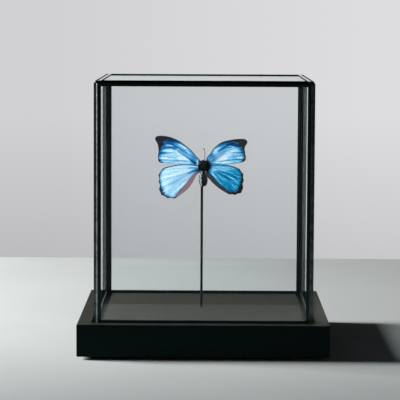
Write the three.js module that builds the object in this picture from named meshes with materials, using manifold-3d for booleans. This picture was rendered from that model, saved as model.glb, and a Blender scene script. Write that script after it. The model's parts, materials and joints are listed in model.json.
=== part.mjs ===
// A blue morpho butterfly on a thin rod, inside a square glass case with a black metal frame,
// standing on a black wooden plinth. Millimetres, +Z up, the viewer on the -Y side.
// The origin is the middle of the underside, on the surface that the felt pads stand on.
import * as THREE from "three";
import { mergeVertices } from "three/addons/utils/BufferGeometryUtils.js";
import Module from "manifold-3d";

const wasm = await Module();
wasm.setup();

// ---------------------------------------------------------------- driving dimensions
const CLEARANCE = 0.3;

const PAD_RADIUS = 10;
const PAD_HEIGHT = 3;
const PAD_INSET = 32;

const PLINTH_SIDE = 250;
const PLINTH_HEIGHT = 32;
const PLINTH_ARRIS = 0.8;

const CASE_SIDE = 218;
const CASE_ABOVE_PLINTH = 240;
const GROOVE_DEPTH = 3.5;
const GROOVE_OUTER_GAP = 2.5;
const GROOVE_INNER_GAP = 1;

const CAME_THICKNESS = 3.2;
const CAME_WALL = 0.5;
const CAME_SLOT_DEPTH = 1.8;
const POST_SETBACK = 4.2;
const TOP_RAIL_SETBACK = 2.4;
const TOP_RAIL_DROP = 0.4;
const SOLDER_BEAD_RADIUS = 1.7;
const BOTTOM_RAIL_HEIGHT = 5.5;

const GLASS_THICKNESS = 1.8;
const GLASS_PLAY = 0.2;

const ROD_RADIUS = 1.35;
const ROD_SOCKET_DEPTH = 12;
// The butterfly stands a little to the left of the plinth's middle, and the rod passes behind its body further left.
const BUTTERFLY_X = -1;
const ROD_X = -2.4;

const WING_ROOT_Z = 183.8;
const WING_Y = -6;
const WING_HINGE_X = 4;
const WING_SPAN = 51;
const WING_THICKNESS = 0.6;
const WING_CAMBER = 1.8;
const HINDWING_BEHIND = 1;

// ---------------------------------------------------------------- worked out from them
const PLINTH_TOP = PAD_HEIGHT + PLINTH_HEIGHT;
const CASE_BOTTOM = PLINTH_TOP - GROOVE_DEPTH + CLEARANCE;
const CASE_TOP = PLINTH_TOP + CASE_ABOVE_PLINTH;
const RAIL_TOP = CASE_TOP - TOP_RAIL_DROP;
const HALF_CASE = CASE_SIDE / 2;
const POST_REACH = POST_SETBACK + CAME_THICKNESS;
const RAIL_LENGTH = CASE_SIDE - 2 * (POST_REACH + CLEARANCE);
const SLOT_NEAR = CAME_WALL;
const SLOT_FAR = CAME_THICKNESS - CAME_WALL;
const PANE_INSET = (CAME_THICKNESS - GLASS_THICKNESS) / 2;
const PANE_EDGE = POST_REACH - CAME_SLOT_DEPTH + GLASS_PLAY;

const SIDES = ["front", "right", "back", "left"];
const CORNERS = ["front_left", "front_right", "back_right", "back_left"];

// ---------------------------------------------------------------- finishes
const finish = (color, roughness, metalness) =>
  new THREE.MeshStandardMaterial({ color, roughness, metalness });
const blackLacquer = finish(0x1c1a19, 0.45, 0);
const darkFelt = finish(0x232323, 0.95, 0);
const blackMetal = finish(0x14191a, 0.35, 0.7);
const clearGlass = finish(0xe6f0ee, 0.05, 0);
const darkSteel = finish(0x2b3030, 0.3, 0.9);
const darkFur = finish(0x10120f, 0.8, 0);
const morphoBlue = finish(0x4aa0de, 0.35, 0.4);

// ---------------------------------------------------------------- helpers
const part = new THREE.Group();

function place(name, geometry, material, parent = part) {
  const mesh = new THREE.Mesh(geometry, material);
  mesh.name = name;
  parent.add(mesh);
  return mesh;
}

function solidOf(geometry) {
  const bare = geometry.clone();
  bare.deleteAttribute("normal");
  bare.deleteAttribute("uv");
  const merged = mergeVertices(bare, 1e-4);
  return new wasm.Manifold(
    new wasm.Mesh({
      numProp: 3,
      vertProperties: merged.attributes.position.array,
      triVerts: new Uint32Array(merged.index.array),
    }),
  );
}

function geometryOf(solid) {
  const mesh = solid.getMesh();
  const geometry = new THREE.BufferGeometry();
  const positions = new THREE.BufferAttribute(mesh.vertProperties, 3);
  geometry.setAttribute("position", positions);
  geometry.setIndex(new THREE.BufferAttribute(mesh.triVerts, 1));
  return geometry;
}

function outlineShape(points) {
  return new THREE.Shape(points.map(([x, y]) => new THREE.Vector2(x, y)));
}

function bar(shape, length) {
  return new THREE.ExtrudeGeometry(shape, {
    depth: length,
    bevelEnabled: false,
    curveSegments: 6,
  });
}

function squareBlock(side, bottom, top) {
  const block = new THREE.BoxGeometry(side, side, top - bottom);
  return block.translate(0, 0, (bottom + top) / 2);
}

function ellipsoid(center, radii, around = 20, along = 12) {
  const ball = new THREE.SphereGeometry(1, around, along);
  return ball.rotateX(Math.PI / 2).scale(...radii).translate(...center);
}

// A thin rod of even thickness along a smooth line through the points.
function strand(points, radius, steps) {
  const path = new THREE.CatmullRomCurve3(points.map((p) => new THREE.Vector3(...p)));
  const section = new THREE.Shape().absarc(0, 0, radius, 0, 2 * Math.PI, false);
  return new THREE.ExtrudeGeometry(section, {
    extrudePath: path,
    steps,
    curveSegments: 3,
  });
}

// ---------------------------------------------------------------- plinth, pads and rod
function makePlinth() {
  const inset = PLINTH_SIDE / 2 - PLINTH_ARRIS;
  const square = outlineShape([
    [-inset, -inset],
    [inset, -inset],
    [inset, inset],
    [-inset, inset],
  ]);
  const board = new THREE.ExtrudeGeometry(square, {
    depth: PLINTH_HEIGHT - 2 * PLINTH_ARRIS,
    bevelEnabled: true,
    bevelSize: PLINTH_ARRIS,
    bevelThickness: PLINTH_ARRIS,
    bevelSegments: 2,
  }).translate(0, 0, PAD_HEIGHT + PLINTH_ARRIS);

  const grooveFloor = PLINTH_TOP - GROOVE_DEPTH;
  const grooveOuter = CASE_SIDE + 2 * GROOVE_OUTER_GAP;
  const fieldSide = CASE_SIDE - 2 * (POST_REACH + GROOVE_INNER_GAP);
  const trench = solidOf(squareBlock(grooveOuter, grooveFloor, PLINTH_TOP + 1));
  const field = solidOf(squareBlock(fieldSide, grooveFloor - 1, PLINTH_TOP + 2));
  const groove = trench.subtract(field);

  const socketRadius = ROD_RADIUS + CLEARANCE;
  const socketHeight = ROD_SOCKET_DEPTH + 1;
  const socket = new THREE.CylinderGeometry(socketRadius, socketRadius, socketHeight, 24)
    .rotateX(Math.PI / 2)
    .translate(ROD_X, 0, PLINTH_TOP - ROD_SOCKET_DEPTH + socketHeight / 2);
  return geometryOf(solidOf(board).subtract(groove).subtract(solidOf(socket)));
}

function makeRod() {
  const bottom = PLINTH_TOP - ROD_SOCKET_DEPTH + CLEARANCE;
  const height = WING_ROOT_Z - bottom;
  return new THREE.CylinderGeometry(ROD_RADIUS, ROD_RADIUS, height, 24)
    .rotateX(Math.PI / 2)
    .translate(ROD_X, 0, bottom + height / 2);
}

place("plinth", makePlinth(), blackLacquer);
place("stand_rod", makeRod(), darkSteel);

CORNERS.forEach((corner) => {
  const [depth, width] = corner.split("_");
  const away = PLINTH_SIDE / 2 - PAD_INSET;
  const x = width === "left" ? -away : away;
  const y = depth === "front" ? -away : away;
  const pad = new THREE.CylinderGeometry(PAD_RADIUS, PAD_RADIUS, PAD_HEIGHT, 24)
    .rotateX(Math.PI / 2)
    .translate(x, y, PAD_HEIGHT / 2);
  place("felt_pad_" + corner, pad, darkFelt);
});

// ---------------------------------------------------------------- glazing frame
// Two U-shaped cames that meet at an outside edge, with a bead of solder in the notch between.
// One came lies on the x axis and starts at setbackX; the other lies on the y axis and starts
// at setbackY. Each has a slot for its pane, open away from the edge.
function cameCorner(setbackX, setbackY) {
  const reachX = setbackX + CAME_THICKNESS;
  const reachY = setbackY + CAME_THICKNESS;
  const slotX = reachX - CAME_SLOT_DEPTH;
  const slotY = reachY - CAME_SLOT_DEPTH;
  const shape = new THREE.Shape();
  shape.moveTo(setbackX, 0);
  shape.lineTo(reachX, 0);
  shape.lineTo(reachX, SLOT_NEAR);
  shape.lineTo(slotX, SLOT_NEAR);
  shape.lineTo(slotX, SLOT_FAR);
  shape.lineTo(reachX, SLOT_FAR);
  shape.lineTo(reachX, CAME_THICKNESS);
  shape.lineTo(slotX, CAME_THICKNESS);
  shape.lineTo(slotX, slotY);
  shape.lineTo(CAME_THICKNESS, slotY);
  shape.lineTo(CAME_THICKNESS, reachY);
  shape.lineTo(SLOT_FAR, reachY);
  shape.lineTo(SLOT_FAR, slotY);
  shape.lineTo(SLOT_NEAR, slotY);
  shape.lineTo(SLOT_NEAR, reachY);
  shape.lineTo(0, reachY);
  shape.lineTo(0, setbackY);
  shape.lineTo(setbackX - SOLDER_BEAD_RADIUS, setbackY);
  shape.absarc(setbackX, setbackY, SOLDER_BEAD_RADIUS, Math.PI, 1.5 * Math.PI, false);
  return shape;
}

// A plain U-shaped came: x is its thickness, and the slot opens towards +y.
function plainCame(height) {
  return outlineShape([
    [0, 0],
    [CAME_THICKNESS, 0],
    [CAME_THICKNESS, height],
    [SLOT_FAR, height],
    [SLOT_FAR, height - CAME_SLOT_DEPTH],
    [SLOT_NEAR, height - CAME_SLOT_DEPTH],
    [SLOT_NEAR, height],
    [0, height],
  ]);
}

// Turns a bar drawn as (inwards, upwards) and extruded into one that runs along +X on the
// front side, starting at the front left corner.
function layAlongFront(geometry) {
  const inwards = new THREE.Vector3(0, 1, 0);
  const upwards = new THREE.Vector3(0, 0, 1);
  const along = new THREE.Vector3(1, 0, 0);
  const turn = new THREE.Matrix4().makeBasis(inwards, upwards, along);
  return geometry.applyMatrix4(turn).translate(-RAIL_LENGTH / 2, -HALF_CASE, 0);
}

function makePost() {
  const post = bar(cameCorner(POST_SETBACK, POST_SETBACK), CASE_TOP - CASE_BOTTOM);
  return post.translate(-HALF_CASE, -HALF_CASE, CASE_BOTTOM);
}

function makeTopRail() {
  const corner = cameCorner(POST_SETBACK, TOP_RAIL_SETBACK);
  const flipped = bar(corner, RAIL_LENGTH).rotateX(Math.PI).translate(0, 0, RAIL_LENGTH);
  return layAlongFront(flipped).translate(0, 0, RAIL_TOP);
}

function makeBottomRail() {
  const rail = bar(plainCame(BOTTOM_RAIL_HEIGHT), RAIL_LENGTH);
  return layAlongFront(rail).translate(0, 0, CASE_BOTTOM);
}

function makeSidePane() {
  const width = CASE_SIDE - 2 * PANE_EDGE;
  const edge = CAME_SLOT_DEPTH - GLASS_PLAY;
  const bottom = CASE_BOTTOM + BOTTOM_RAIL_HEIGHT - edge;
  const top = RAIL_TOP - TOP_RAIL_SETBACK - CAME_THICKNESS + edge;
  const pane = new THREE.BoxGeometry(width, GLASS_THICKNESS, top - bottom);
  const y = -HALF_CASE + PANE_INSET + GLASS_THICKNESS / 2;
  return pane.translate(0, y, (bottom + top) / 2);
}

function makeTopPane() {
  const side = CASE_SIDE - 2 * PANE_EDGE;
  const top = RAIL_TOP - PANE_INSET;
  return squareBlock(side, top - GLASS_THICKNESS, top);
}

const glazedCase = new THREE.Group();
part.add(glazedCase);
SIDES.forEach((side, quarter) => {
  const panel = new THREE.Group();
  panel.rotation.z = (quarter * Math.PI) / 2;
  glazedCase.add(panel);
  place("post_" + CORNERS[quarter], makePost(), blackMetal, panel);
  place("top_rail_" + side, makeTopRail(), blackMetal, panel);
  place("bottom_rail_" + side, makeBottomRail(), blackMetal, panel);
  place("glass_pane_" + side, makeSidePane(), clearGlass, panel);
});
place("glass_pane_top", makeTopPane(), clearGlass, glazedCase);

// ---------------------------------------------------------------- butterfly
const BODY_Y = -5.5;

// Head with eyes and palps, thorax and ringed abdomen, grown as one piece.
function makeBody() {
  const thorax = ellipsoid([0, BODY_Y, 182.6], [4.9, 4, 5]);
  const head = ellipsoid([0, BODY_Y, 187], [3, 2.8, 2.6]);
  const palps = ellipsoid([0, BODY_Y + 1.4, 188], [1.3, 1.4, 1.6], 12, 8);
  let body = solidOf(thorax).add(solidOf(head)).add(solidOf(palps));
  [-1, 1].forEach((side) => {
    const eye = ellipsoid([side * 2.6, BODY_Y, 187.3], [1.5, 1.7, 1.6], 12, 8);
    body = body.add(solidOf(eye));
  });

  const tip = 161.8;
  const length = 18.4;
  const widest = 4;
  const rings = 7;
  const steps = 28;
  const profile = [];
  for (let i = 0; i <= steps; i += 1) {
    const t = i / steps;
    const swell = Math.sin(Math.PI * Math.pow(t, 0.72)) ** 0.62;
    const ring = 1 - 0.035 * (1 - Math.abs(Math.sin(Math.PI * rings * t)));
    profile.push(new THREE.Vector2(i % steps === 0 ? 0 : widest * swell * ring, t * length));
  }
  const abdomen = new THREE.LatheGeometry(profile, 20)
    .rotateX(Math.PI / 2)
    .scale(1, 0.88, 1)
    .translate(0, BODY_Y + 0.3, tip);
  return geometryOf(body.add(solidOf(abdomen)));
}

// Wing outlines, as [out from the body's middle, up from the wing root], from the lower end
// of the root round by the front edge, the tip and the outer margin. Each wing dried in a
// pose of its own, so the left and right outlines differ a little.
const LEFT_FOREWING = [
  [5.4, 1], [5.4, 6], [9.6, 13], [18, 20.2], [27.7, 26.6], [38.3, 30], [45.5, 30.4],
  [49.4, 29.4], [50.5, 26.8], [48, 21.5], [47, 15.5], [47.5, 8], [46.6, 3.6], [42, 1.8],
  [32, 1.2], [15, 1],
];
const RIGHT_FOREWING = [
  [5.4, 0.6], [5.4, 9.4], [7.2, 13.2], [11.8, 18.4], [20.2, 23.8], [31, 26.3], [42.5, 27],
  [48, 25.9], [49.5, 22.8], [46.6, 18], [47, 12.5], [48, 6], [46.5, 3.6], [41.5, 2],
  [31.5, 0.8], [15, 0.4],
];
const LEFT_HINDWING = [
  [5.4, -0.8], [15, 1], [25, 0.8], [32, -0.5], [40.7, -3.4], [45.5, -8.7], [46, -16],
  [45, -22.3], [44.9, -28.9], [39.4, -33.4], [31, -34.8], [28, -33.8], [21.4, -29.1],
  [15, -23.4], [10, -16], [6.4, -8.1], [5.4, -4.5],
];
const RIGHT_HINDWING = [
  [5.4, -0.8], [15, 0.6], [24, 0.2], [29.5, -0.6], [36, -2.5], [41.4, -5.1], [44.6, -8.5],
  [46, -14.7], [45.2, -21.2], [44.7, -27.6], [40.8, -30.7], [32, -31.6], [23.3, -27.8],
  [14.6, -21.9], [7.6, -15.3], [5.5, -9], [5.4, -4.5],
];

// The smooth closed line through an outline, with the outer margin cut into shallow scallops
// between the vein ends. margin holds where it starts and ends, as shares of the way round.
function wingRim(outline, samples, margin, scallops, scallopDepth, middle) {
  const corners = outline.map(([out, up]) => new THREE.Vector3(out, up, 0));
  const line = new THREE.CatmullRomCurve3(corners, true, "centripetal");
  return line.getSpacedPoints(samples).map((p, i) => {
    const along = (i / samples - margin[0]) / (margin[1] - margin[0]);
    const inside = along > 0 && along < 1;
    const bite = inside ? scallopDepth * Math.abs(Math.sin(Math.PI * scallops * along)) : 0;
    const inwards = new THREE.Vector3(middle[0], middle[1], 0).sub(p).setLength(bite);
    return p.add(inwards);
  });
}

// A thin closed sheet inside the rim, swept back from the hinge line and arched forwards.
// side is -1 for the left wing and 1 for the right; sweep is in degrees.
function makeWing({ outline, side, sweep, behind, samples, margin, scallops, scallopDepth }) {
  const count = outline.length;
  const middle = [
    outline.reduce((sum, p) => sum + p[0], 0) / count,
    outline.reduce((sum, p) => sum + p[1], 0) / count,
  ];
  const rim = wingRim(outline, samples, margin, scallops, scallopDepth, middle);
  const half = WING_THICKNESS / 2;
  const rings = [0.35, 0.7];
  const profile = [
    [0, -half],
    ...rings.map((r) => [r, -half]),
    [1, -half / 2],
    [1, half / 2],
    ...rings.toReversed().map((r) => [r, half]),
    [0, half],
  ].map(([r, t]) => new THREE.Vector2(r, t));
  const disc = new THREE.LatheGeometry(profile, samples);
  const position = disc.attributes.position;
  const angle = THREE.MathUtils.degToRad(sweep);
  for (let i = 0; i < position.count; i += 1) {
    const x = position.getX(i);
    const z = position.getZ(i);
    const share = Math.hypot(x, z);
    const turn = (Math.atan2(x, z) / (2 * Math.PI) + 1) % 1;
    const edge = rim[Math.round(turn * samples) % samples];
    const out = middle[0] + share * (edge.x - middle[0]);
    const up = middle[1] + share * (edge.y - middle[1]);
    const reach = out - WING_HINGE_X;
    const arch = WING_CAMBER * Math.sin((Math.PI * reach) / (WING_SPAN - WING_HINGE_X));
    const back = reach * Math.sin(angle) - arch + behind + side * position.getY(i);
    position.setXYZ(
      i,
      side * (WING_HINGE_X + reach * Math.cos(angle)),
      WING_Y + back,
      WING_ROOT_Z + up,
    );
  }
  return disc;
}

const forewing = { behind: 0, samples: 52, margin: [0.5, 0.66], scallops: 4, scallopDepth: 0.2 };
const hindwing = {
  behind: HINDWING_BEHIND,
  samples: 84,
  margin: [0.31, 0.65],
  scallops: 6,
  scallopDepth: 0.7,
};
const left = { side: -1, sweep: 7 };
const right = { side: 1, sweep: 23 };

const butterfly = new THREE.Group();
butterfly.position.x = BUTTERFLY_X;
part.add(butterfly);
place("butterfly_body", makeBody(), darkFur, butterfly);
const wings = [
  ["forewing_left", { ...forewing, ...left, outline: LEFT_FOREWING }],
  ["forewing_right", { ...forewing, ...right, outline: RIGHT_FOREWING }],
  ["hindwing_left", { ...hindwing, ...left, outline: LEFT_HINDWING }],
  ["hindwing_right", { ...hindwing, ...right, outline: RIGHT_HINDWING }],
];
wings.forEach(([name, wing]) => place(name, makeWing(wing), morphoBlue, butterfly));

// The right antenna stands up and hooks over at its club; the left one points straight back.
const ANTENNA_RADIUS = 0.3;
const CLUB_RADIUS = 0.5;
const ANTENNAE = {
  antenna_right: [
    [1.4, BODY_Y, 189.9], [1.5, BODY_Y - 0.2, 193], [1.5, BODY_Y - 0.6, 197], [1, BODY_Y - 1, 200.6],
    [-0.4, BODY_Y - 1.2, 202],
  ],
  antenna_left: [
    [-1, BODY_Y + 3.4, 188], [-1.2, BODY_Y + 6, 188.4], [-1.2, BODY_Y + 10, 188.2],
    [-0.8, BODY_Y + 13, 187], [-0.4, BODY_Y + 14.4, 185.6],
  ],
};
Object.entries(ANTENNAE).forEach(([name, points]) => {
  const shaft = solidOf(strand(points, ANTENNA_RADIUS, 12));
  const club = solidOf(ellipsoid(points.at(-1), [0.7, CLUB_RADIUS, CLUB_RADIUS], 10, 6));
  place(name, geometryOf(shaft.add(club)), darkFur, butterfly);
});

// Four legs folded back beside the rod.
const LEG_RADIUS = 0.35;
const LEGS = {
  middle: [[2.6, -1.7, 182.4], [4, 0.6, 181.4], [3.4, 2.6, 177.5], [2.6, 3.4, 173.5]],
  hind: [[2.8, -1.9, 180], [3.9, 0.2, 178.4], [3, 1.9, 173.4], [2.2, 2.5, 168]],
};
Object.entries(LEGS).forEach(([pair, points]) => {
  Object.entries({ left: -1, right: 1 }).forEach(([sideName, side]) => {
    const mirrored = points.map(([x, y, z]) => [side * x, y, z]);
    place(`${pair}_leg_${sideName}`, strand(mirrored, LEG_RADIUS, 10), darkFur, butterfly);
  });
});

export default part;
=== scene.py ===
"""A blue morpho butterfly on a thin rod, in a square glass case with a black metal frame on a black plinth.

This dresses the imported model. Blender's units are metres, +Z is up and the viewer is on the -Y side.
The sizes of the made pieces are in millimetres, and MM turns them into metres where a mesh is made.
"""

import json
import logging
import math
from dataclasses import dataclass
from enum import Enum
from typing import Sequence

import bpy
import numpy as np
from mathutils import Matrix, Vector, geometry

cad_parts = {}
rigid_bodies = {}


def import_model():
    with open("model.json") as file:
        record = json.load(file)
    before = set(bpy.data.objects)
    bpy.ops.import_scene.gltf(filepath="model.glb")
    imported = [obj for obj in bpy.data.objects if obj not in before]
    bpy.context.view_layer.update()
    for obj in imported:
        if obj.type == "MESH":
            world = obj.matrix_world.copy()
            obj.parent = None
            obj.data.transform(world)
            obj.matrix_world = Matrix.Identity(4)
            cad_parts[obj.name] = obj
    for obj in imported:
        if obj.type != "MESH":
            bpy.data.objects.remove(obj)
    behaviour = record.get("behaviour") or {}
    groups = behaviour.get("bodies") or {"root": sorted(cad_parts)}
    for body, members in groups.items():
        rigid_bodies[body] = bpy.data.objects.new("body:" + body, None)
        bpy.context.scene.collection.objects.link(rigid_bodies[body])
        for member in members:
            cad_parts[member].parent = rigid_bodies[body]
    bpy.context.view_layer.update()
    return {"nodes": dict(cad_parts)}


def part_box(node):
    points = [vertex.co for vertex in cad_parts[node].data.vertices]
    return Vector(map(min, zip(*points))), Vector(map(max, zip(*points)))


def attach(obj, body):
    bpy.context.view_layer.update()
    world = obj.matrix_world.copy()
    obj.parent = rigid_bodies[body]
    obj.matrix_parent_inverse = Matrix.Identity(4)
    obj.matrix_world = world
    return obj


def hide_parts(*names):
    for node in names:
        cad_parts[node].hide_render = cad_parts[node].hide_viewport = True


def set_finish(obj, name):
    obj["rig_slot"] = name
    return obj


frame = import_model()

log = logging.getLogger("butterfly_case")

MM = 0.001
BODY = "root"
THIRD_TURN = 2.0944

# The rod's and the butterfly's places, the height and depth of the wings' roots, and the body's depth,
# in millimetres.
ROD_X = -2.4
BUTTERFLY_X = -1.0
WING_ROOT_Z = 183.8
WING_Y = -6.0
BODY_Y = -5.5

Point = tuple[float, float]
Place = tuple[float, float, float]
Rgba = tuple[float, float, float, float]
Socket = bpy.types.NodeSocket
Source = Socket | float | tuple
Shape = tuple[np.ndarray, list[list[int]]]
Growth = tuple[np.ndarray, np.ndarray, np.ndarray]


class Slot(Enum):
    """The record's material slots that the made pieces stand for."""

    FELT = "dark_felt"
    METAL = "black_metal"
    ROD = "rod_steel"
    BODY = "insect_body"
    WING = "morpho_wing"
    LIMB = "insect_limb"


class Trim(Enum):
    """The finish of each strip of a came: its place in the case's list of metals."""

    PATINA = 0
    BEAD = 1
    RAW_EDGE = 2
    BURNISHED = 3


Section = list[tuple[Point, Trim]]


class Stroke(Enum):
    """What a line on a wing does to the blue: dark scales, a deeper blue streak of painted sheen, or a
    painted highlight streak.
    """

    INK = "ink"
    DEEP = "deep"
    GLINT = "glint"


# ---------------------------------------------------------------------------- lines and meshes


def smooth_line(points: Sequence[Sequence[float]], closed: bool = False, per_span: int = 12) -> np.ndarray:
    """A centripetal Catmull-Rom line.

    Args:
        points: the points that it passes, in two or three dimensions.
        closed: whether it runs on from the last point to the first.
        per_span: steps between two points.

    Returns:
        The line's points. A closed line ends on its first point.
    """
    given = np.asarray(points, float)
    if closed:
        ring = np.vstack([given[-1], given, given[0], given[1]])
    else:
        ring = np.vstack([2 * given[0] - given[1], given, 2 * given[-1] - given[-2]])
    made = []
    for a, b, c, d in zip(ring, ring[1:], ring[2:], ring[3:]):
        before, between, after = (math.sqrt(np.linalg.norm(q - p)) for p, q in ((a, b), (b, c), (c, d)))
        leave = ((b - a) / before - (c - a) / (before + between)) * between + c - b
        arrive = ((d - c) / after - (d - b) / (between + after)) * between + c - b
        for step in range(per_span):
            t = step / per_span
            bend = (2 * (b - c) + leave + arrive) * t + 3 * (c - b) - 2 * leave - arrive
            made.append(b + t * (leave + t * bend))
    made.append(ring[-2])
    return np.array(made)


def spaced(line: np.ndarray, count: int) -> np.ndarray:
    """Points at equal distances along a line.

    Args:
        line: the line's points.
        count: how many points to give, both ends among them.

    Returns:
        The spaced points.
    """
    run = np.concatenate([[0], np.cumsum(np.linalg.norm(np.diff(line, axis=0), axis=1))])
    wanted = np.linspace(0, run[-1], count)
    return np.stack([np.interp(wanted, run, line[:, axis]) for axis in range(line.shape[1])], axis=1)


def nearest(points: np.ndarray, line: np.ndarray) -> tuple[np.ndarray, np.ndarray]:
    """How far flat points lie from a line.

    Args:
        points: the points, one a row.
        line: the line's points.

    Returns:
        Each point's distance to the line, and the share of the line's length at its nearest place.
    """
    start, run = line[:-1], np.diff(line, axis=0)
    length = np.maximum(np.linalg.norm(run, axis=1), 1e-9)
    before = np.concatenate([[0], np.cumsum(length)])
    best, share = np.full(len(points), np.inf), np.zeros(len(points))
    for index in range(len(start)):
        t = np.clip((points - start[index]) @ run[index] / length[index] ** 2, 0, 1)
        gap = np.linalg.norm(points - start[index] - t[:, None] * run[index], axis=1)
        closer = gap < best
        best[closer] = gap[closer]
        share[closer] = (before[index] + t[closer] * length[index]) / before[-1]
    return best, share


def inside(points: np.ndarray, loop: np.ndarray) -> np.ndarray:
    """Which flat points lie inside a closed line.

    Args:
        points: the points, one a row.
        loop: the line's points. The last is the first again.

    Returns:
        True for each point inside.
    """
    x, y = points[:, 0], points[:, 1]
    odd = np.zeros(len(points), bool)
    for (ax, ay), (bx, by) in zip(loop, loop[1:]):
        if ay != by:
            crosses = ((ay > y) != (by > y)) & (x < (bx - ax) * (y - ay) / (by - ay) + ax)
            odd ^= crosses
    return odd


def ease(value: np.ndarray | float, low: float, high: float) -> np.ndarray:
    """A smooth step from 0 at low to 1 at high."""
    t = np.clip((np.asarray(value, float) - low) / (high - low), 0, 1)
    return t * t * (3 - 2 * t)


def ripple(values: np.ndarray, seed: int, period: float, waves: int = 5) -> np.ndarray:
    """A smooth uneven wave between about -1 and 1.

    Args:
        values: where it is read.
        seed: picks its shape.
        period: the length of its longest wave.
        waves: how many waves are summed.

    Returns:
        The wave's height at each value.
    """
    rng = np.random.default_rng(seed)
    total = np.zeros_like(np.asarray(values, float))
    for index in range(waves):
        faster = 1.0 + 0.73 * index
        total += np.sin(2 * math.pi * values * faster / period + rng.uniform(0, 6.28)) / faster
    return total / 1.8


class Pile:
    """Vertices and faces gathered in millimetres, made into one object at the end."""

    def __init__(self) -> None:
        """Starts an empty pile."""
        self.vertices: list[np.ndarray] = []
        self.faces: list[list[int]] = []
        self.finishes: list[int] = []
        self.count = 0

    def add(self, vertices: np.ndarray, faces: Sequence[Sequence[int]], finish: int = 0) -> None:
        """Adds a shape.

        Args:
            vertices: its points, one a row.
            faces: its faces, which count its own vertices from 0.
            finish: which of the object's materials it has.
        """
        self.vertices.append(np.asarray(vertices, float))
        self.faces.extend([self.count + int(v) for v in face] for face in faces)
        self.finishes.extend([finish] * len(faces))
        self.count += len(vertices)

    def make(
        self, name: str, materials: Sequence[bpy.types.Material], crease: float = 40
    ) -> bpy.types.Object:
        """Makes the object.

        Args:
            name: the piece's name.
            materials: its materials, in the order that finish counts them.
            crease: edges sharper than this many degrees stay sharp.

        Returns:
            The object, linked to the scene.
        """
        mesh = bpy.data.meshes.new(name)
        mesh.from_pydata((np.vstack(self.vertices) * MM).tolist(), [], self.faces)
        for material in materials:
            mesh.materials.append(material)
        mesh.polygons.foreach_set("material_index", self.finishes)
        mesh.shade_smooth()
        mesh.set_sharp_from_angle(angle=math.radians(crease))
        mesh.update()
        made = bpy.data.objects.new(name, mesh)
        bpy.context.scene.collection.objects.link(made)
        return made


def skinned(rings: np.ndarray) -> Shape:
    """A closed skin over rings of points.

    Args:
        rings: an array of rings, points in a ring, and coordinates. All rings turn the same way.

    Returns:
        The vertices and faces, with a face over each end.
    """
    count, around = rings.shape[:2]
    faces = []
    for low in range(0, (count - 1) * around, around):
        for i in range(around):
            after = (i + 1) % around
            faces.append([low + i, low + after, low + around + after, low + around + i])
    faces.append(list(range(around))[::-1])
    faces.append([(count - 1) * around + i for i in range(around)])
    return rings.reshape(-1, 3), faces


def tube(path: np.ndarray, radii: np.ndarray, around: int, flat: float = 1.0) -> Shape:
    """A closed tube along a line in space.

    Args:
        path: its centre line.
        radii: its radius at each point of the line.
        around: corners in a section.
        flat: the section's height as a share of its width.

    Returns:
        The vertices and faces.
    """
    ways = np.gradient(path, axis=0)
    ways /= np.linalg.norm(ways, axis=1)[:, None]
    side = np.cross(ways[0], (0.31, 0.27, 0.91))
    turns = np.arange(around) * 2 * math.pi / around
    rings = []
    for place, way, radius in zip(path, ways, radii):
        side = side - way * (side @ way)
        side /= np.linalg.norm(side)
        up = np.cross(way, side)
        circle = np.outer(np.cos(turns), side) + flat * np.outer(np.sin(turns), up)
        rings.append(place + radius * circle)
    return skinned(np.array(rings))


def ball(centre: Sequence[float], radii: Sequence[float], around: int, rows: int) -> Shape:
    """A closed ellipsoid.

    Args:
        centre: its middle.
        radii: its half sizes.
        around: corners in a row.
        rows: rows from pole to pole.

    Returns:
        The vertices and faces.
    """
    turns = np.arange(around) * 2 * math.pi / around
    rings = []
    for row in range(rows):
        rise = math.pi * (row + 0.35) / (rows - 0.3) - math.pi / 2
        level = np.full(around, math.sin(rise))
        ring = np.stack([np.cos(turns) * math.cos(rise), np.sin(turns) * math.cos(rise), level], 1)
        rings.append(np.asarray(centre) + ring * np.asarray(radii))
    return skinned(np.array(rings))


def rounded(corners: Sequence[Point], radius: float, steps: int = 3) -> list[Point]:
    """An open line of corners, each but the two ends rounded.

    Args:
        corners: the corners in order.
        radius: how far from a corner its rounding starts.
        steps: steps in a rounding.

    Returns:
        The line's points.
    """
    made = [corners[0]]
    for before, here, after in zip(corners, corners[1:], corners[2:]):
        b, h, a = (np.array(p, float) for p in (before, here, after))
        reach = min(radius, 0.4 * np.linalg.norm(b - h), 0.4 * np.linalg.norm(a - h))
        start = h + (b - h) / np.linalg.norm(b - h) * reach
        end = h + (a - h) / np.linalg.norm(a - h) * reach
        for step in range(steps + 1):
            t = step / steps
            made.append(tuple((1 - t) ** 2 * start + 2 * t * (1 - t) * h + t * t * end))
    made.append(corners[-1])
    return made


def basis(x: Vector, y: Vector, z: Vector, origin: Vector) -> Matrix:
    """The matrix that takes the three axes to x, y and z, and the origin to its place."""
    return Matrix.Translation(origin) @ Matrix((x, y, z)).transposed().to_4x4()


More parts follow.
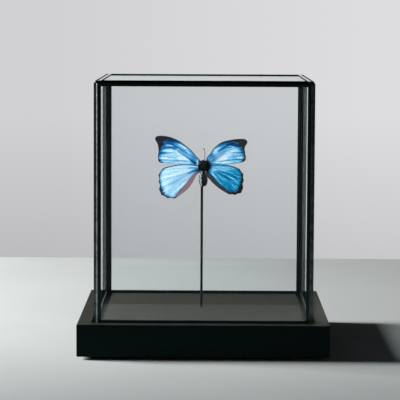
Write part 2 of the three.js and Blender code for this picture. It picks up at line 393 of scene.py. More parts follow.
def strands(growth: Growth, radius: float, droop: Place) -> Shape:
    """Thin tapering hairs, each a closed three-sided spike with one bend.

    Args:
        growth: where each hair starts, the direction that it grows in and how long it is.
        radius: their thickness at the root.
        droop: how the tips hang, as a share of the length.

    Returns:
        The vertices and faces of all of them.
    """
    roots, ways, lengths = growth
    ways = ways / np.linalg.norm(ways, axis=1)[:, None]
    side = np.cross(ways, (0.36, 0.48, 0.8))
    side /= np.linalg.norm(side, axis=1)[:, None]
    other = np.cross(ways, side)
    sag = np.asarray(droop) * lengths[:, None]
    middle = roots + ways * lengths[:, None] * 0.55 + sag * 0.3
    tip = roots + ways * lengths[:, None] + sag
    corners = []
    for centre, size in ((roots, radius), (middle, radius * 0.7)):
        for turn in (0, THIRD_TURN, 2 * THIRD_TURN):
            corners.append(centre + size * (side * math.cos(turn) + other * math.sin(turn)))
    vertices = np.stack([*corners, tip], axis=1).reshape(-1, 3)
    spike = [[2, 1, 0], [0, 1, 4, 3], [1, 2, 5, 4], [2, 0, 3, 5], [3, 4, 6], [4, 5, 6], [5, 3, 6]]
    faces = [[7 * hair + v for v in face] for hair in range(len(roots)) for face in spike]
    return vertices, faces


def settle(piece: bpy.types.Object, slot: Slot, *nodes: str) -> None:
    """Fixes a finished piece to the body, names its slot and the CAD nodes that it stands for.

    Args:
        piece: the object.
        slot: the record's material slot.
        nodes: the CAD nodes that it replaces.
    """
    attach(piece, BODY)
    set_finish(piece, slot.value)
    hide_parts(*nodes)
    log.info("%s: %d faces, for %s", piece.name, len(piece.data.polygons), ", ".join(nodes))


# ---------------------------------------------------------------------------- material nodes


def tint(code: str) -> Rgba:
    """The linear colour of a code.

    Args:
        code: six hexadecimal digits of sRGB.

    Returns:
        Red, green, blue and 1.
    """
    parts = [int(code[i : i + 2], 16) / 255 for i in (0, 2, 4)]
    linear = [c / 12.92 if c <= 0.04045 else ((c + 0.055) / 1.055) ** 2.4 for c in parts]
    return (linear[0], linear[1], linear[2], 1.0)


class Nodes:
    """A tree of nodes, with short calls that add a node and join it up."""

    def __init__(self, tree: bpy.types.NodeTree) -> None:
        """Takes over a tree and empties it."""
        self.tree = tree
        tree.nodes.clear()

    def node(self, kind: str, feeds: dict | None = None, **settings: object) -> bpy.types.Node:
        """Adds a node.

        Args:
            kind: its type, without the ShaderNode that all of them start with.
            feeds: what goes into its inputs, by name or number.
            settings: its own properties.

        Returns:
            The node.
        """
        made = self.tree.nodes.new("ShaderNode" + kind)
        for key, value in settings.items():
            setattr(made, key, value)
        for key, value in (feeds or {}).items():
            self.feed(made.inputs[key], value)
        return made

    def feed(self, socket: Socket, value: Source) -> None:
        """Joins an output to an input, or sets the input's own value.

        Args:
            socket: the input.
            value: the output, or the value.
        """
        if isinstance(value, Socket):
            self.tree.links.new(value, socket)
        else:
            socket.default_value = value

    def noise(self, vector: Source, scale: float, detail: float, distortion: float = 0) -> Socket:
        """Cloudy noise, from 0 to 1."""
        feeds = {"Vector": vector, "Scale": scale, "Detail": detail, "Distortion": distortion}
        return self.node("TexNoise", feeds).outputs[0]

    def cells(self, vector: Source, scale: float) -> Socket:
        """Small cells, as the distance to each one's middle."""
        return self.node("TexVoronoi", {"Vector": vector, "Scale": scale}).outputs["Distance"]

    def sum(self, *values: Source) -> Socket:
        """Adds values up.

        Args:
            values: two or more.

        Returns:
            The sum.
        """
        total = values[0]
        for value in values[1:]:
            total = self.node("Math", {0: total, 1: value}, operation="ADD").outputs[0]
        return total

    def times(self, a: Source, b: Source) -> Socket:
        """One value times another."""
        return self.node("Math", {0: a, 1: b}, operation="MULTIPLY").outputs[0]

    def most(self, a: Source, b: Source) -> Socket:
        """The larger of two values."""
        return self.node("Math", {0: a, 1: b}, operation="MAXIMUM").outputs[0]

    def span(
        self, value: Source, low: float, high: float, to_low: float = 0, to_high: float = 1
    ) -> Socket:
        """The value, taken from one range to another and held inside it."""
        return self.node("MapRange", {0: value, 1: low, 2: high, 3: to_low, 4: to_high}).outputs[0]

    def vary(self, noise: Source, low: float, high: float) -> Socket:
        """A noise, whose usual range from 0.3 to 0.7 is taken to low and high."""
        return self.span(noise, 0.3, 0.7, low, high)

    def eased(self, value: Source, low: float, high: float) -> Socket:
        """A smooth step from 0 at low to 1 at high."""
        feeds = {0: value, 1: low, 2: high}
        return self.node("MapRange", feeds, interpolation_type="SMOOTHSTEP").outputs[0]

    def blend(self, share: Source, a: Source, b: Source) -> Socket:
        """Colour a, going over to b as share goes from 0 to 1."""
        return self.node("Mix", {0: share, 6: a, 7: b}, data_type="RGBA").outputs[2]

    def ramp(self, value: Source, stops: Sequence[tuple[float, str]]) -> Socket:
        """Colours along a value.

        Args:
            value: where on the ramp.
            stops: each stop's place and sRGB code.

        Returns:
            The colour.
        """
        made = self.node("ValToRGB", {0: value})
        elements = made.color_ramp.elements
        while len(elements) < len(stops):
            elements.new(0.5)
        for element, (place, code) in zip(elements, stops):
            element.position = place
        for element, (place, code) in zip(elements, stops):
            element.color = tint(code)
        return made.outputs[0]


class Board(Nodes):
    """One material's nodes: a Principled shader and what goes into it."""

    def __init__(self, name: str) -> None:
        """Starts a material.

        Args:
            name: the material's name.
        """
        self.material = bpy.data.materials.new(name)
        self.material.use_nodes = True
        super().__init__(self.material.node_tree)
        self.output = self.node("OutputMaterial")
        self.shader = self.node("BsdfPrincipled")
        self.feed(self.output.inputs["Surface"], self.shader.outputs[0])

    def set(self, **values: Source) -> None:
        """Sets the shader's inputs. A name has _ where the input's has a space."""
        for name, value in values.items():
            self.feed(self.shader.inputs[name.replace("_", " ")], value)

    def attribute(self, name: str) -> Socket:
        """A number that the mesh holds at each vertex."""
        return self.node("Attribute", attribute_name=name).outputs["Fac"]

    def vector(self, name: str, stretch: Place = (1, 1, 1)) -> Socket:
        """A vector that the mesh holds at each vertex, stretched along its three axes."""
        held = self.node("Attribute", attribute_name=name).outputs["Vector"]
        return self.node("Mapping", {"Vector": held, "Scale": stretch}).outputs[0]

    def place(self, stretch: Place = (1, 1, 1)) -> Socket:
        """The object's own coordinates in metres, stretched along its three axes."""
        here = self.node("TexCoord").outputs["Object"]
        return self.node("Mapping", {"Vector": here, "Scale": stretch}).outputs[0]

    def facing(self, axis: str) -> Socket:
        """One part of the surface's direction."""
        way = self.node("NewGeometry").outputs["Normal"]
        return self.node("SeparateXYZ", {0: way}).outputs[axis]

    def bump(self, height: Source, depth: float, strength: float = 1) -> None:
        """Gives the shader a bumpy surface, depth metres deep."""
        feeds = {"Height": height, "Distance": depth, "Strength": strength}
        self.set(Normal=self.node("Bump", feeds).outputs[0])


@dataclass(frozen=True)
class Finish:
    """A finish, whose material is made once and then shared."""

    name: str

    def material(self) -> bpy.types.Material:
        """Finds or makes the finish's material.

        Returns:
            The material.
        """
        made = bpy.data.materials.get(self.name)
        if made is None:
            board = Board(self.name)
            self.paint(board)
            made = board.material
        return made

    def paint(self, board: Board) -> None:
        """Sets the material's nodes. Each finish has its own.

        Args:
            board: the material's nodes.
        """
        raise NotImplementedError


# ---------------------------------------------------------------------------- the case's finishes


@dataclass(frozen=True)
class Lacquer(Finish):
    """Satin black lacquer, a little dusty on top, with fine rubbed lines."""

    name: str = "satin_lacquer"
    black: str = "0b0f0f"
    dust: str = "8c715c"

    def paint(self, board: Board) -> None:
        """Sets black paint with clouds of dust on what faces up, fine rub marks and orange peel.

        Args:
            board: the material's nodes.
        """
        cloud = board.noise(board.place(), 16, 4)
        rubbed = board.noise(board.place((30, 900, 900)), 1, 3)
        crossed = board.noise(board.place((700, 24, 700)), 1, 3)
        marks = board.most(board.span(rubbed, 0.62, 0.75), board.span(crossed, 0.66, 0.8))
        upward = board.span(board.facing("Z"), 0.7, 0.95)
        specks = board.span(board.cells(board.place(), 420), 0.16, 0.05)
        dusting = board.span(cloud, 0.35, 0.75, 0.04, 0.09)
        film = board.sum(dusting, board.times(marks, 0.03), board.times(specks, 0.08))
        board.set(Base_Color=board.blend(board.times(upward, film), tint(self.black), tint(self.dust)))
        soft = board.sum(board.vary(cloud, 0.38, 0.46), board.times(upward, 0.32))
        board.set(Roughness=board.sum(soft, board.times(marks, 0.06)), Specular_IOR_Level=0.11)
        board.set(Specular_Tint=(0.3, 0.92, 0.96, 1))
        peel = board.noise(board.place(), 700, 2)
        board.bump(board.sum(peel, board.times(marks, -0.25)), 0.00003, 0.5)


@dataclass(frozen=True)
class Felt(Finish):
    """Dark pressed wool."""

    name: str = "pressed_felt"

    def paint(self, board: Board) -> None:
        """Sets short matted fibres, in two sizes of noise.

        Args:
            board: the material's nodes.
        """
        fibres = board.noise(board.place(), 2600, 4, 1.5)
        board.set(Base_Color=board.ramp(fibres, [(0.3, "131313"), (0.7, "303030")]), Roughness=0.95)
        board.set(Sheen_Weight=0.3, Sheen_Roughness=0.6)
        board.bump(fibres, 0.0003)


@dataclass(frozen=True)
class BlackCame(Finish):
    """Black patina on soldered metal, semi-gloss and a little uneven."""

    name: str = "black_came"
    black: str = "050e0e"
    worn: str = "1c2b2b"
    rough: Point = (0.28, 0.38)
    shine: float = 0.4

    def paint(self, board: Board) -> None:
        """Sets mottled black patina with rubbed spots and fine lengthwise lines.

        Args:
            board: the material's nodes.
        """
        mottle = board.noise(board.place(), 90, 4, 0.6)
        fine = board.noise(board.place(), 1500, 3)
        rubbed = board.times(board.span(mottle, 0.58, 0.8), board.span(fine, 0.45, 0.7, 0.0, 0.5))
        board.set(Base_Color=board.blend(rubbed, tint(self.black), tint(self.worn)))
        board.set(Roughness=board.vary(mottle, *self.rough), Specular_IOR_Level=self.shine)
        board.set(Specular_Tint=(0.72, 1.0, 0.99, 1))
        board.bump(board.sum(mottle, board.times(fine, 0.05)), 0.000015, 0.15)


@dataclass(frozen=True)
class Solder(Finish):
    """Darkened tin along a corner, brighter than the cames."""

    name: str = "dark_solder"

    def paint(self, board: Board) -> None:
        """Sets grey tin with darker patina in patches.

        Args:
            board: the material's nodes.
        """
        mottle = board.noise(board.place(), 140, 3, 0.8)
        board.set(Base_Color=board.ramp(mottle, [(0.4, "4a5355"), (0.6, "6c7576")]))
        board.set(Metallic=0.85, Roughness=board.vary(mottle, 0.42, 0.34))
        board.bump(mottle, 0.00008, 0.5)


@dataclass(frozen=True)
class DarkSteel(Finish):
    """Blackened drawn steel."""

    name: str = "dark_steel"

    def paint(self, board: Board) -> None:
        """Sets steel with fine drawn lines along its length and faint heat-dark patches.

        Args:
            board: the material's nodes.
        """
        drawn = board.noise(board.place((5200, 5200, 60)), 1, 3)
        patches = board.noise(board.place((60, 60, 30)), 1, 3)
        tone = board.sum(board.times(drawn, 0.5), board.times(patches, 0.5))
        board.set(Base_Color=board.ramp(tone, [(0.35, "0d1314"), (0.65, "1e282a")]))
        board.set(Metallic=0.75, Roughness=board.vary(drawn, 0.3, 0.42))
        board.bump(drawn, 0.00002, 0.5)


@dataclass(frozen=True)
class ClearGlass(Finish):
    """Thin float glass with a trace of green."""

    name: str = "float_glass"
    colour: Rgba = (0.975, 0.995, 0.998, 1)

    def paint(self, board: Board) -> None:
        """Sets smooth glass that lets the lamps' light through to what it shuts in.

        Args:
            board: the material's nodes.
        """
        board.set(Base_Color=self.colour, Roughness=0.0, IOR=1.5, Transmission_Weight=1.0)
        path = board.node("LightPath").outputs
        passing = board.most(path["Is Shadow Ray"], path["Is Diffuse Ray"])
        through = board.node("BsdfTransparent", {"Color": (0.9, 0.93, 0.925, 1)})
        feeds = {0: passing, 1: board.shader.outputs[0], 2: through.outputs[0]}
        board.feed(board.output.inputs["Surface"], board.node("MixShader", feeds).outputs[0])


# ---------------------------------------------------------------------------- the insect's finishes


PURE_BLUE = (
    (0.0, "042a54"), (0.2, "0d5c9a"), (0.4, "2b8bcb"), (0.6, "5fb2e6"), (0.8, "9fd5f6"), (1.0, "dceffe"),
)
SCALE_ROWS = (7, 4, 1)
SEA_BLUE = (
    (0.0, "012c4c"), (0.22, "005f94"), (0.42, "0088bd"), (0.62, "3cadde"), (0.82, "8dd5f6"), (1.0, "cfeefd"),
)


@dataclass(frozen=True)
class WingUpper(Finish):
    """The upper side of a wing: blue scales, streaks, dark veins and a dark border.

    The mesh holds how far each point is inside the blue (blue_mm) and inside the dark edging (edge_mm),
    how pale it is with its painted sheen (pale_and_sheen), how strong the dark lines, the strip by the body
    and the painted shadow on the root are there (ink, strip, shade), and how green the blue is, an
    iridescent tint painted as colour (teal).
    """

    border: str = "231f27"
    border_inner: str = "1d1c2a"
    strip: str = "977a82"
    line: str = "0a3558"
    feather: float = 1.0
    contrast: float = 1.0

    def paint(self, board: Board) -> None:
        """Sets the blue by paleness, painted sheen and streaks, then lays lines, border, strip and the
        root's painted shadow over it.

        Args:
            board: the material's nodes.
        """
        blue = board.attribute("blue_mm")
        streak = board.noise(board.vector("streak", (0.6, 0.04, 1)), 1, 1)
        line = board.noise(board.vector("streak", (1.6, 0.08, 1)), 1, 2)
        thread = board.noise(board.vector("streak", (4.2, 0.22, 1)), 1, 2)
        mottle = board.noise(board.vector("plan"), 0.6, 2)
        scale = board.noise(board.vector("plan"), 1.6, 3)
        shimmer = board.sum(
            board.vary(streak, -0.14 * self.contrast, 0.14 * self.contrast),
            board.vary(line, -0.24 * self.contrast, 0.24 * self.contrast),
            board.vary(thread, -0.08, 0.08),
            board.vary(mottle, -0.09, 0.09),
            board.vary(scale, -0.06, 0.06),
        )
        # The level is the wing's own paleness together with its painted sheen and highlight streaks.
        level = board.sum(board.attribute("pale_and_sheen"), shimmer, board.span(blue, 0.0, 2.8, -0.3, 0.0))
        pure, sea = board.ramp(level, PURE_BLUE), board.ramp(level, SEA_BLUE)
        colour = board.blend(board.attribute("teal"), pure, sea)
        colour = board.blend(board.attribute("ink"), colour, tint(self.line))

        ragged = board.vary(line, -self.feather, self.feather)
        fray = board.sum(board.vary(thread, -0.4, 0.4), ragged)
        edge = board.sum(board.attribute("edge_mm"), board.vary(mottle, -0.15, 0.15))
        outside = board.most(board.span(board.sum(blue, fray), 0.5, -0.4), board.span(edge, 0.2, -0.2))
        rust = board.noise(board.vector("plan"), 0.7, 3)
        dark = board.blend(board.span(rust, 0.35, 0.7), tint(self.border), tint(self.border_inner))
        colour = board.blend(outside, colour, dark)
        downy = board.blend(board.vary(thread, 0.0, 0.35), tint(self.strip), tint(self.border))
        colour = board.blend(board.attribute("strip"), colour, downy)
        # Painted shadow: near black where the thorax shades the right wings' roots.
        colour = board.blend(board.attribute("shade"), colour, tint("02080f"))
        board.set(Base_Color=colour, Roughness=board.vary(scale, 0.58, 0.72))
        board.set(Specular_IOR_Level=0.06)
        board.set(Sheen_Weight=0.02, Sheen_Roughness=0.4, Sheen_Tint=(0.6, 0.8, 1, 1))
        rows = board.cells(board.vector("plan", SCALE_ROWS), 1)
        board.bump(board.sum(rows, board.times(line, 2.0)), 0.00005, 0.6)


@dataclass(frozen=True)
class WingUnder(Finish):
    """The under side of a wing: brown, with cream lines by the margin and ringed eyespots."""

    name: str = "wing_underside"

    def paint(self, board: Board) -> None:
        """Sets clouded browns, then the margin's lines, the veins and the eyespots' rings.

        Args:
            board: the material's nodes.
        """
        cloud = board.noise(board.vector("plan"), 0.16, 4)
        thread = board.noise(board.vector("streak", (2.4, 0.12, 1)), 1, 2)
        level = board.sum(board.times(cloud, 0.7), board.times(thread, 0.3))
        colour = board.ramp(level, [(0.3, "3b2c22"), (0.5, "5a4433"), (0.68, "7d6449")])
        edge = board.attribute("rim_mm")
        lines = board.ramp(board.times(edge, 0.1), [
            (0.0, "000000"), (0.09, "000000"), (0.12, "ffffff"), (0.15, "ffffff"), (0.18, "000000"),
            (0.27, "000000"), (0.29, "8c8c8c"), (0.32, "8c8c8c"), (0.35, "000000"),
        ])
        colour = board.blend(board.times(lines, 0.6), colour, tint("b39a74"))
        colour = board.blend(board.times(board.attribute("vein"), 0.7), colour, tint("2b2019"))
        spot = board.attribute("spot")
        rings = board.ramp(spot, [
            (0.0, "e9e6da"), (0.05, "e9e6da"), (0.08, "0d0c0c"), (0.22, "120f0e"), (0.26, "5a2d1c"),
            (0.32, "16110f"), (0.35, "c9a552"), (0.42, "c9a552"), (0.46, "1f1712"), (0.5, "1f1712"),
        ])
        colour = board.blend(board.span(spot, 0.53, 0.49), colour, rings)
        board.set(Base_Color=colour, Roughness=0.75, Specular_IOR_Level=0.25)
        board.bump(board.cells(board.vector("plan", SCALE_ROWS), 1), 0.00005, 0.6)


@dataclass(frozen=True)
class Cuticle(Finish):
    """Dry hard skin, dark with a green cast."""

    name: str = "dark_cuticle"
    low: str = "020506"
    high: str = "0b1516"

    def paint(self, board: Board) -> None:
        """Sets dark skin with fine scaly mottling.

        Args:
            board: the material's nodes.
        """
        cloud = board.noise(board.place(), 700, 4)
        board.set(Base_Color=board.ramp(cloud, [(0.35, self.low), (0.7, self.high)]))
        board.set(Roughness=board.vary(cloud, 0.4, 0.62), Specular_IOR_Level=0.12)
        board.bump(board.cells(board.place(), 6000), 0.00006, 0.8)


@dataclass(frozen=True)
class Hair(Finish):
    """Fine dry hair, darker and lighter by patches."""

    name: str = "dark_hair"
    low: str = "010304"
    high: str = "0a1416"
    gloss: float = 0.04

    def paint(self, board: Board) -> None:
        """Sets hair whose tone drifts from tuft to tuft.

        Args:
            board: the material's nodes.
        """
        tufts = board.noise(board.place(), 1100, 3)
        board.set(Base_Color=board.ramp(tufts, [(0.35, self.low), (0.68, self.high)]))
        board.set(Roughness=0.6, Specular_IOR_Level=self.gloss)


@dataclass(frozen=True)
class Eye(Finish):
    """A glossy dark compound eye."""

    name: str = "compound_eye"

    def paint(self, board: Board) -> None:
        """Sets a dark brown dome of tiny facets.

        Args:
            board: the material's nodes.
        """
        facets = board.cells(board.place(), 9000)
        board.set(Base_Color=board.ramp(facets, [(0.1, "2a1d16"), (0.6, "0c0908")]))
        board.set(Roughness=0.18, Coat_Weight=0.4, Coat_Roughness=0.08)
        board.bump(facets, 0.00003, 0.5)


BLACK_LACQUER = Lacquer()
DARK_FELT = Felt()
CASE_METALS = (
    BlackCame(),
    Solder(),
    BlackCame("raw_came_edge", "050808", "0e1313", (0.8, 0.9), 0.02),
    BlackCame("burnished_came", "0b1111", "1d2424", (0.05, 0.1), 0.6),
)
# On the lid's rails the bead is as dull as a raw edge.
LID_METALS = (CASE_METALS[0], CASE_METALS[2], *CASE_METALS[2:])
DARK_STEEL = DarkSteel()
CLEAR_GLASS = ClearGlass()
WING_UNDERSIDE = WingUnder()
DARK_CUTICLE = Cuticle()
DARK_HAIR = Hair()
PALE_HAIR = Hair("pale_hair", "c4d6d0", "fbfffd", 0.4)
LIMB_CUTICLE = Cuticle("limb_cuticle", "0d0c0c", "2b2622")
COMPOUND_EYE = Eye()


# ---------------------------------------------------------------------------- plinth, pads and rod


def dress_node(name: str, finish: Finish, rounding: float) -> None:
    """Shows a CAD solid as it is, with slightly rounded edges and a finish.

    Args:
        name: the CAD node's name.
        finish: its finish.
        rounding: the width of the rounding in millimetres.
    """
    node = frame["nodes"][name]
    node.data.materials.clear()
    node.data.materials.append(finish.material())
    weld = node.modifiers.new("join", "WELD")
    weld.merge_threshold = 1e-6
    bevel = node.modifiers.new("soften", "BEVEL")
    bevel.width = rounding * MM
    bevel.segments = 2
    bevel.limit_method = "ANGLE"
    bevel.angle_limit = math.radians(32)
    bevel.harden_normals = True
    log.info("%s: shown as it is, in %s", name, finish.name)


@dataclass
class Plinth:
    """The black board. Its own solid is shown, with rounded groove edges."""

    node: str = "plinth"
    rounding: float = 0.25

    def dress(self) -> None:
        """Rounds the solid's sharp edges a little and gives it the lacquer."""
        dress_node(self.node, BLACK_LACQUER, self.rounding)


@dataclass
class FeltPads:
    """The four round pads that the plinth stands on.

    profile holds shares of the radius and of the height, from the underside up.
    """

    radius: float = 10.0
    height: float = 3.0
    around: int = 72
    profile: tuple[Point, ...] = (
        (0.4, 0.02), (0.96, 0.0), (0.985, 0.2), (1.0, 0.5), (0.985, 0.85), (0.96, 1.0), (0.4, 1.0),
    )

    def build(self) -> None:
        """Makes each pad where its solid is."""
        for corner in ("front_left", "front_right", "back_left", "back_right"):
            self.pad("felt_pad_" + corner)

    def pad(self, node: str) -> None:
        """Makes one pad: a disc with a soft, slightly ragged edge.

        Args:
            node: the solid that it stands for.
        """
        low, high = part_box(node)
        middle = (np.array(low) + np.array(high)) / 2 / MM
        turns = np.arange(self.around) * 2 * math.pi / self.around
        rings = []
        for row, (reach, rise) in enumerate(self.profile):
            ragged = 1 - 0.012 * (1 + ripple(turns * self.around / 6.2832, row + 3, 11)) * (reach > 0.9)
            r = self.radius * reach * ragged
            z = np.full(self.around, self.height * rise)
            rings.append(np.stack([middle[0] + r * np.cos(turns), middle[1] + r * np.sin(turns), z], 1))
        pile = Pile()
        pile.add(*skinned(np.array(rings)))
        settle(pile.make(node + "_felt", [DARK_FELT.material()], 60), Slot.FELT, node)


@dataclass
class StandRod:
    """The thin rod that carries the butterfly."""

    radius: float = 1.35
    bottom: float = 23.3
    top: float = 183.8
    softened: float = 0.3
    around: int = 40

    def build(self) -> None:
        """Makes the rod with softened ends and a very slight drawn unevenness."""
        length = self.top - self.bottom
        end = np.array([0, 0.1, self.softened])
        heights = np.concatenate([end, np.linspace(1.0, length - 1.0, 70)])
        heights = np.concatenate([heights, length - end[::-1]])
        ends = np.minimum(heights, heights[::-1])
        soft = 0.18 * np.clip(1 - ends / self.softened, 0, 1) ** 2
        radii = self.radius * (1 - soft - 0.006 * (1 + ripple(heights, 8, 21)))
        path = np.stack([np.full_like(heights, ROD_X), np.zeros_like(heights), self.bottom + heights], 1)
        pile = Pile()
        pile.add(*tube(path, radii, self.around))
        settle(pile.make("stand_rod_drawn", [DARK_STEEL.material()]), Slot.ROD, "stand_rod")


# ---------------------------------------------------------------------------- glazed case


@dataclass
class GlazedCase:
    """The glass case: U-shaped black cames, solder along the corners, and five panes.

    swell, shrink and wander are how far the hand-soldered bead thickens, thins and drifts, each with the
    length of its longest wave. cap_rows are the cap's heights under the rail's top and their insets.
    """

    side: float = 218.0
    bottom: float = 31.8
    top: float = 275.0
    rail_top: float = 274.6
    came: float = 3.2
    wall: float = 0.5
    slot: float = 1.8
    post_setback: float = 4.2
    rail_setback: float = 2.4
    bead: float = 1.7
    bead_turn: float = 270.0
    lid_bead: Point = (2.9, 1.36)
    lid_bead_turn: float = 307.0
    lid_bead_end: float = 3.92
    swell: Point = (0.05, 37.0)
    shrink: Point = (0.03, 6.5)
    wander: Point = (0.02, 60.0)
    station_gap: float = 1.6
    cut_end: float = 0.985
    cap_setback: float = 1.3
    cap_rows: tuple[Point, ...] = ((0.5, 0.0), (0.15, 0.15), (0.0, 0.5))
    knob: float = 1.5
    knob_setback: float = 3.2
    bottom_rail: float = 5.5
    rounding: float = 0.12
    pane_edge: float = 0.15

    SIDES = ("front", "right", "back", "left")
    CORNERS = ("front_left", "front_right", "back_right", "back_left")

    @property
    def reach(self) -> float:
        """How far a post reaches from the case's corner."""
        return self.post_setback + self.came

    def corner(self, across: float, along: float, lid: bool) -> Section:
        """The section of two cames that meet at an edge, and of the bead between them.

        Args:
            across: where the came on the first axis starts.
            along: where the came on the second axis starts.
            lid: whether the came on the first axis lies flat on top of the case.

        Returns:
            The section's points in order, each with the finish from it to the next.
        """
        far, wide = along + self.came, across + self.came
        slot_x, slot_y = wide - self.slot, far - self.slot
        inner = self.came - self.wall
        start, last = (self.lid_bead_end, self.lid_bead_turn) if lid else (across, self.bead_turn)
        hub_x, hub_y = self.lid_bead if lid else (across, along)
        edge = [
            (start, 0), (wide, 0), (wide, self.wall), (slot_x, self.wall), (slot_x, inner), (wide, inner),
            (wide, self.came), (slot_x, self.came), (slot_x, slot_y), (self.came, slot_y), (self.came, far),
            (inner, far), (inner, slot_y), (self.wall, slot_y), (self.wall, far), (0, far), (0, along),
        ]
        turns = np.linspace(math.pi, math.radians(last), 14)
        bead = [(hub_x + self.bead * math.cos(t), hub_y + self.bead * math.sin(t)) for t in turns]
        line = rounded(edge, self.rounding)
        made = []
        for here, after in zip(line, line[1:] + bead[:1]):
            u, v = (here[0] + after[0]) / 2, (here[1] + after[1]) / 2
            trim = Trim.PATINA
            if lid and v < self.wall * 0.9:
                trim = Trim.BURNISHED if u < wide - self.rounding else Trim.RAW_EDGE
            made.append((here, trim))
        return made + [(p, Trim.BEAD) for p in bead]

    def channel(self, height: float) -> Section:
        """The section of one plain came, open upwards.

        Args:
            height: its height.

        Returns:
            The section's points in order, each with the finish from it to the next.
        """
        inner = self.came - self.wall
        edge = [
            (0, 0), (self.came, 0), (self.came, height), (inner, height), (inner, height - self.slot),
            (self.wall, height - self.slot), (self.wall, height), (0, height),
        ]
        return [(p, Trim.PATINA) for p in rounded(edge, self.rounding)]

    def sweep(
        self, section: Section, length: float, seed: int
    ) -> tuple[np.ndarray, list[list[int]], list[int]]:
        """Draws a section along its length, with a hand-soldered bead that swells and thins.

        Args:
            section: the section's points and finishes.
            length: how long the bar is.
            seed: picks its unevenness.

        Returns:
            The bar's vertices along the third axis from 0, its faces, and each face's finish.
        """
        flat = np.array([p for p, _ in section])
        trims = [trim for _, trim in section]
        on_bead = np.array([trim is Trim.BEAD for trim in trims])
        hub = flat[on_bead].mean(0) if on_bead.any() else flat.mean(0)
        between = np.arange(1.2, length - 1.0, self.station_gap)
        stations = np.concatenate([[0, 0.25], between, [length - 0.25, length]])
        swell = 1 - self.swell[0] * (1 + ripple(stations, seed, self.swell[1]))
        swell -= self.shrink[0] * (1 + ripple(stations, seed + 1, self.shrink[1]))
        wander = self.wander[0] * ripple(stations, seed + 2, self.wander[1])
        rings = []
        for z, size, drift in zip(stations, swell, wander):
            ends = self.cut_end if z in (0, length) else 1.0
            middle = flat.mean(0)
            ring = middle + (flat - middle) * ends
            ring[on_bead] = hub + (ring[on_bead] - hub) * size
            ring[~on_bead] += np.clip(drift, 0, 0.05) * (1 - ring[~on_bead] / 8)
            rings.append(np.column_stack([ring, np.full(len(ring), z)]))
        vertices, faces = skinned(np.array(rings))
        count = len(flat)
        finishes = []
        for face in faces:
            low, high = min(v % count for v in face), max(v % count for v in face)
            first = low if high - low == 1 else high
            touched = on_bead[low] or on_bead[high]
            finishes.append(0 if len(face) != 4 else Trim.BEAD.value if touched else trims[first].value)
        return vertices, faces, finishes

    def bar(self, name: str, section: Section, length: float, turn: Matrix, quarter: int) -> Pile:
        """Sweeps a section and lays it at one side of the case.

        Args:
            name: picks the bar's unevenness.
            section: its section.
            length: its length.
            turn: takes the section's two axes and its length to the front side of the case.
            quarter: how many quarter turns the side is from the front.

        Returns:
            The pile with the bar in place.
        """
        vertices, faces, finishes = self.sweep(section, length, sum(map(ord, name)))
        whole = np.array(Matrix.Rotation(quarter * math.pi / 2, 4, "Z") @ turn)
        placed = vertices @ whole[:3, :3].T + whole[:3, 3]
        if np.linalg.det(whole[:3, :3]) < 0:
            faces = [face[::-1] for face in faces]
        pile = Pile()
        pile.add(placed, faces)
        pile.finishes = finishes
        return pile

    def build(self) -> None:
        """Makes the posts, the rails and the panes' finish, side by side round the case."""
        half = self.side / 2
        metals = [finish.material() for finish in CASE_METALS]
        lid_metals = [finish.material() for finish in LID_METALS]
        upright = Matrix.Translation((-half, -half, self.bottom))
        inwards, upwards, along = Vector((0, 1, 0)), Vector((0, 0, 1)), Vector((1, 0, 0))
        run = self.side - 2 * self.reach
        post_length = self.rail_top - self.rail_setback - self.bottom
        post_section = self.corner(self.post_setback, self.post_setback, False)
        lid_section = self.corner(self.post_setback, self.rail_setback, True)
        for quarter, side in enumerate(self.SIDES):
            post = "post_" + self.CORNERS[quarter]
            pile = self.bar(post, post_section, post_length, upright, quarter)
            self.add_cap(pile, quarter)
            settle(pile.make(post + "_soldered", metals, 50), Slot.METAL, post)

            rail = "top_rail_" + side
            hang = basis(inwards, -upwards, along, Vector((-run / 2, -half, self.rail_top)))
            pile = self.bar(rail, lid_section, run, hang, quarter)
            settle(pile.make(rail + "_soldered", lid_metals, 50), Slot.METAL, rail)

            rail = "bottom_rail_" + side
            stand = basis(inwards, upwards, along, Vector((-run / 2, -half, self.bottom)))
            pile = self.bar(rail, self.channel(self.bottom_rail), run, stand, quarter)
            settle(pile.make(rail + "_folded", metals, 50), Slot.METAL, rail)
        for side in (*self.SIDES, "top"):
            dress_node("glass_pane_" + side, CLEAR_GLASS, self.pane_edge)

    def add_cap(self, pile: Pile, quarter: int) -> None:
        """Closes a post's top with a soldered block, and a blob where three beads meet.

        Args:
            pile: the post's pile.
            quarter: how many quarter turns the post is from the front left one.
        """
        half = self.side / 2
        turn = Matrix.Rotation(quarter * math.pi / 2, 3, "Z")
        rings = []
        for down, inset in ((self.rail_setback + 0.3, 0.0), *self.cap_rows):
            near, far = self.cap_setback + inset, self.reach - 0.3 * inset
            corners = [(far, near), (near, near), (near, far), (far, far), (far, near)]
            square = rounded(corners, 1.2 if inset else 0.9)[:-1]
            rings.append([turn @ Vector((u - half, v - half, self.rail_top - down)) for u, v in square])
        pile.add(*skinned(np.array(rings)), Trim.PATINA.value)
        back = self.knob_setback - half
        spot = turn @ Vector((back, back, self.top - self.knob))
        pile.add(*ball(spot, (self.knob,) * 3, 20, 12), Trim.BEAD.value)


# ---------------------------------------------------------------------------- wings


@dataclass(frozen=True)
class Line:
    """A tapering line on a wing.

    points are (out, up) in millimetres, wide is its half width at both ends, and strong how much it does.
    """

    kind: Stroke
    points: tuple[Point, ...]
    wide: tuple[float, float]
    strong: float


@dataclass(frozen=True)
class Patch:
    """An oval of painted sheen on a wing: paler, or deeper where lift is negative, fading outwards."""

    at: Point
    reach: Point
    turn: float
    lift: float


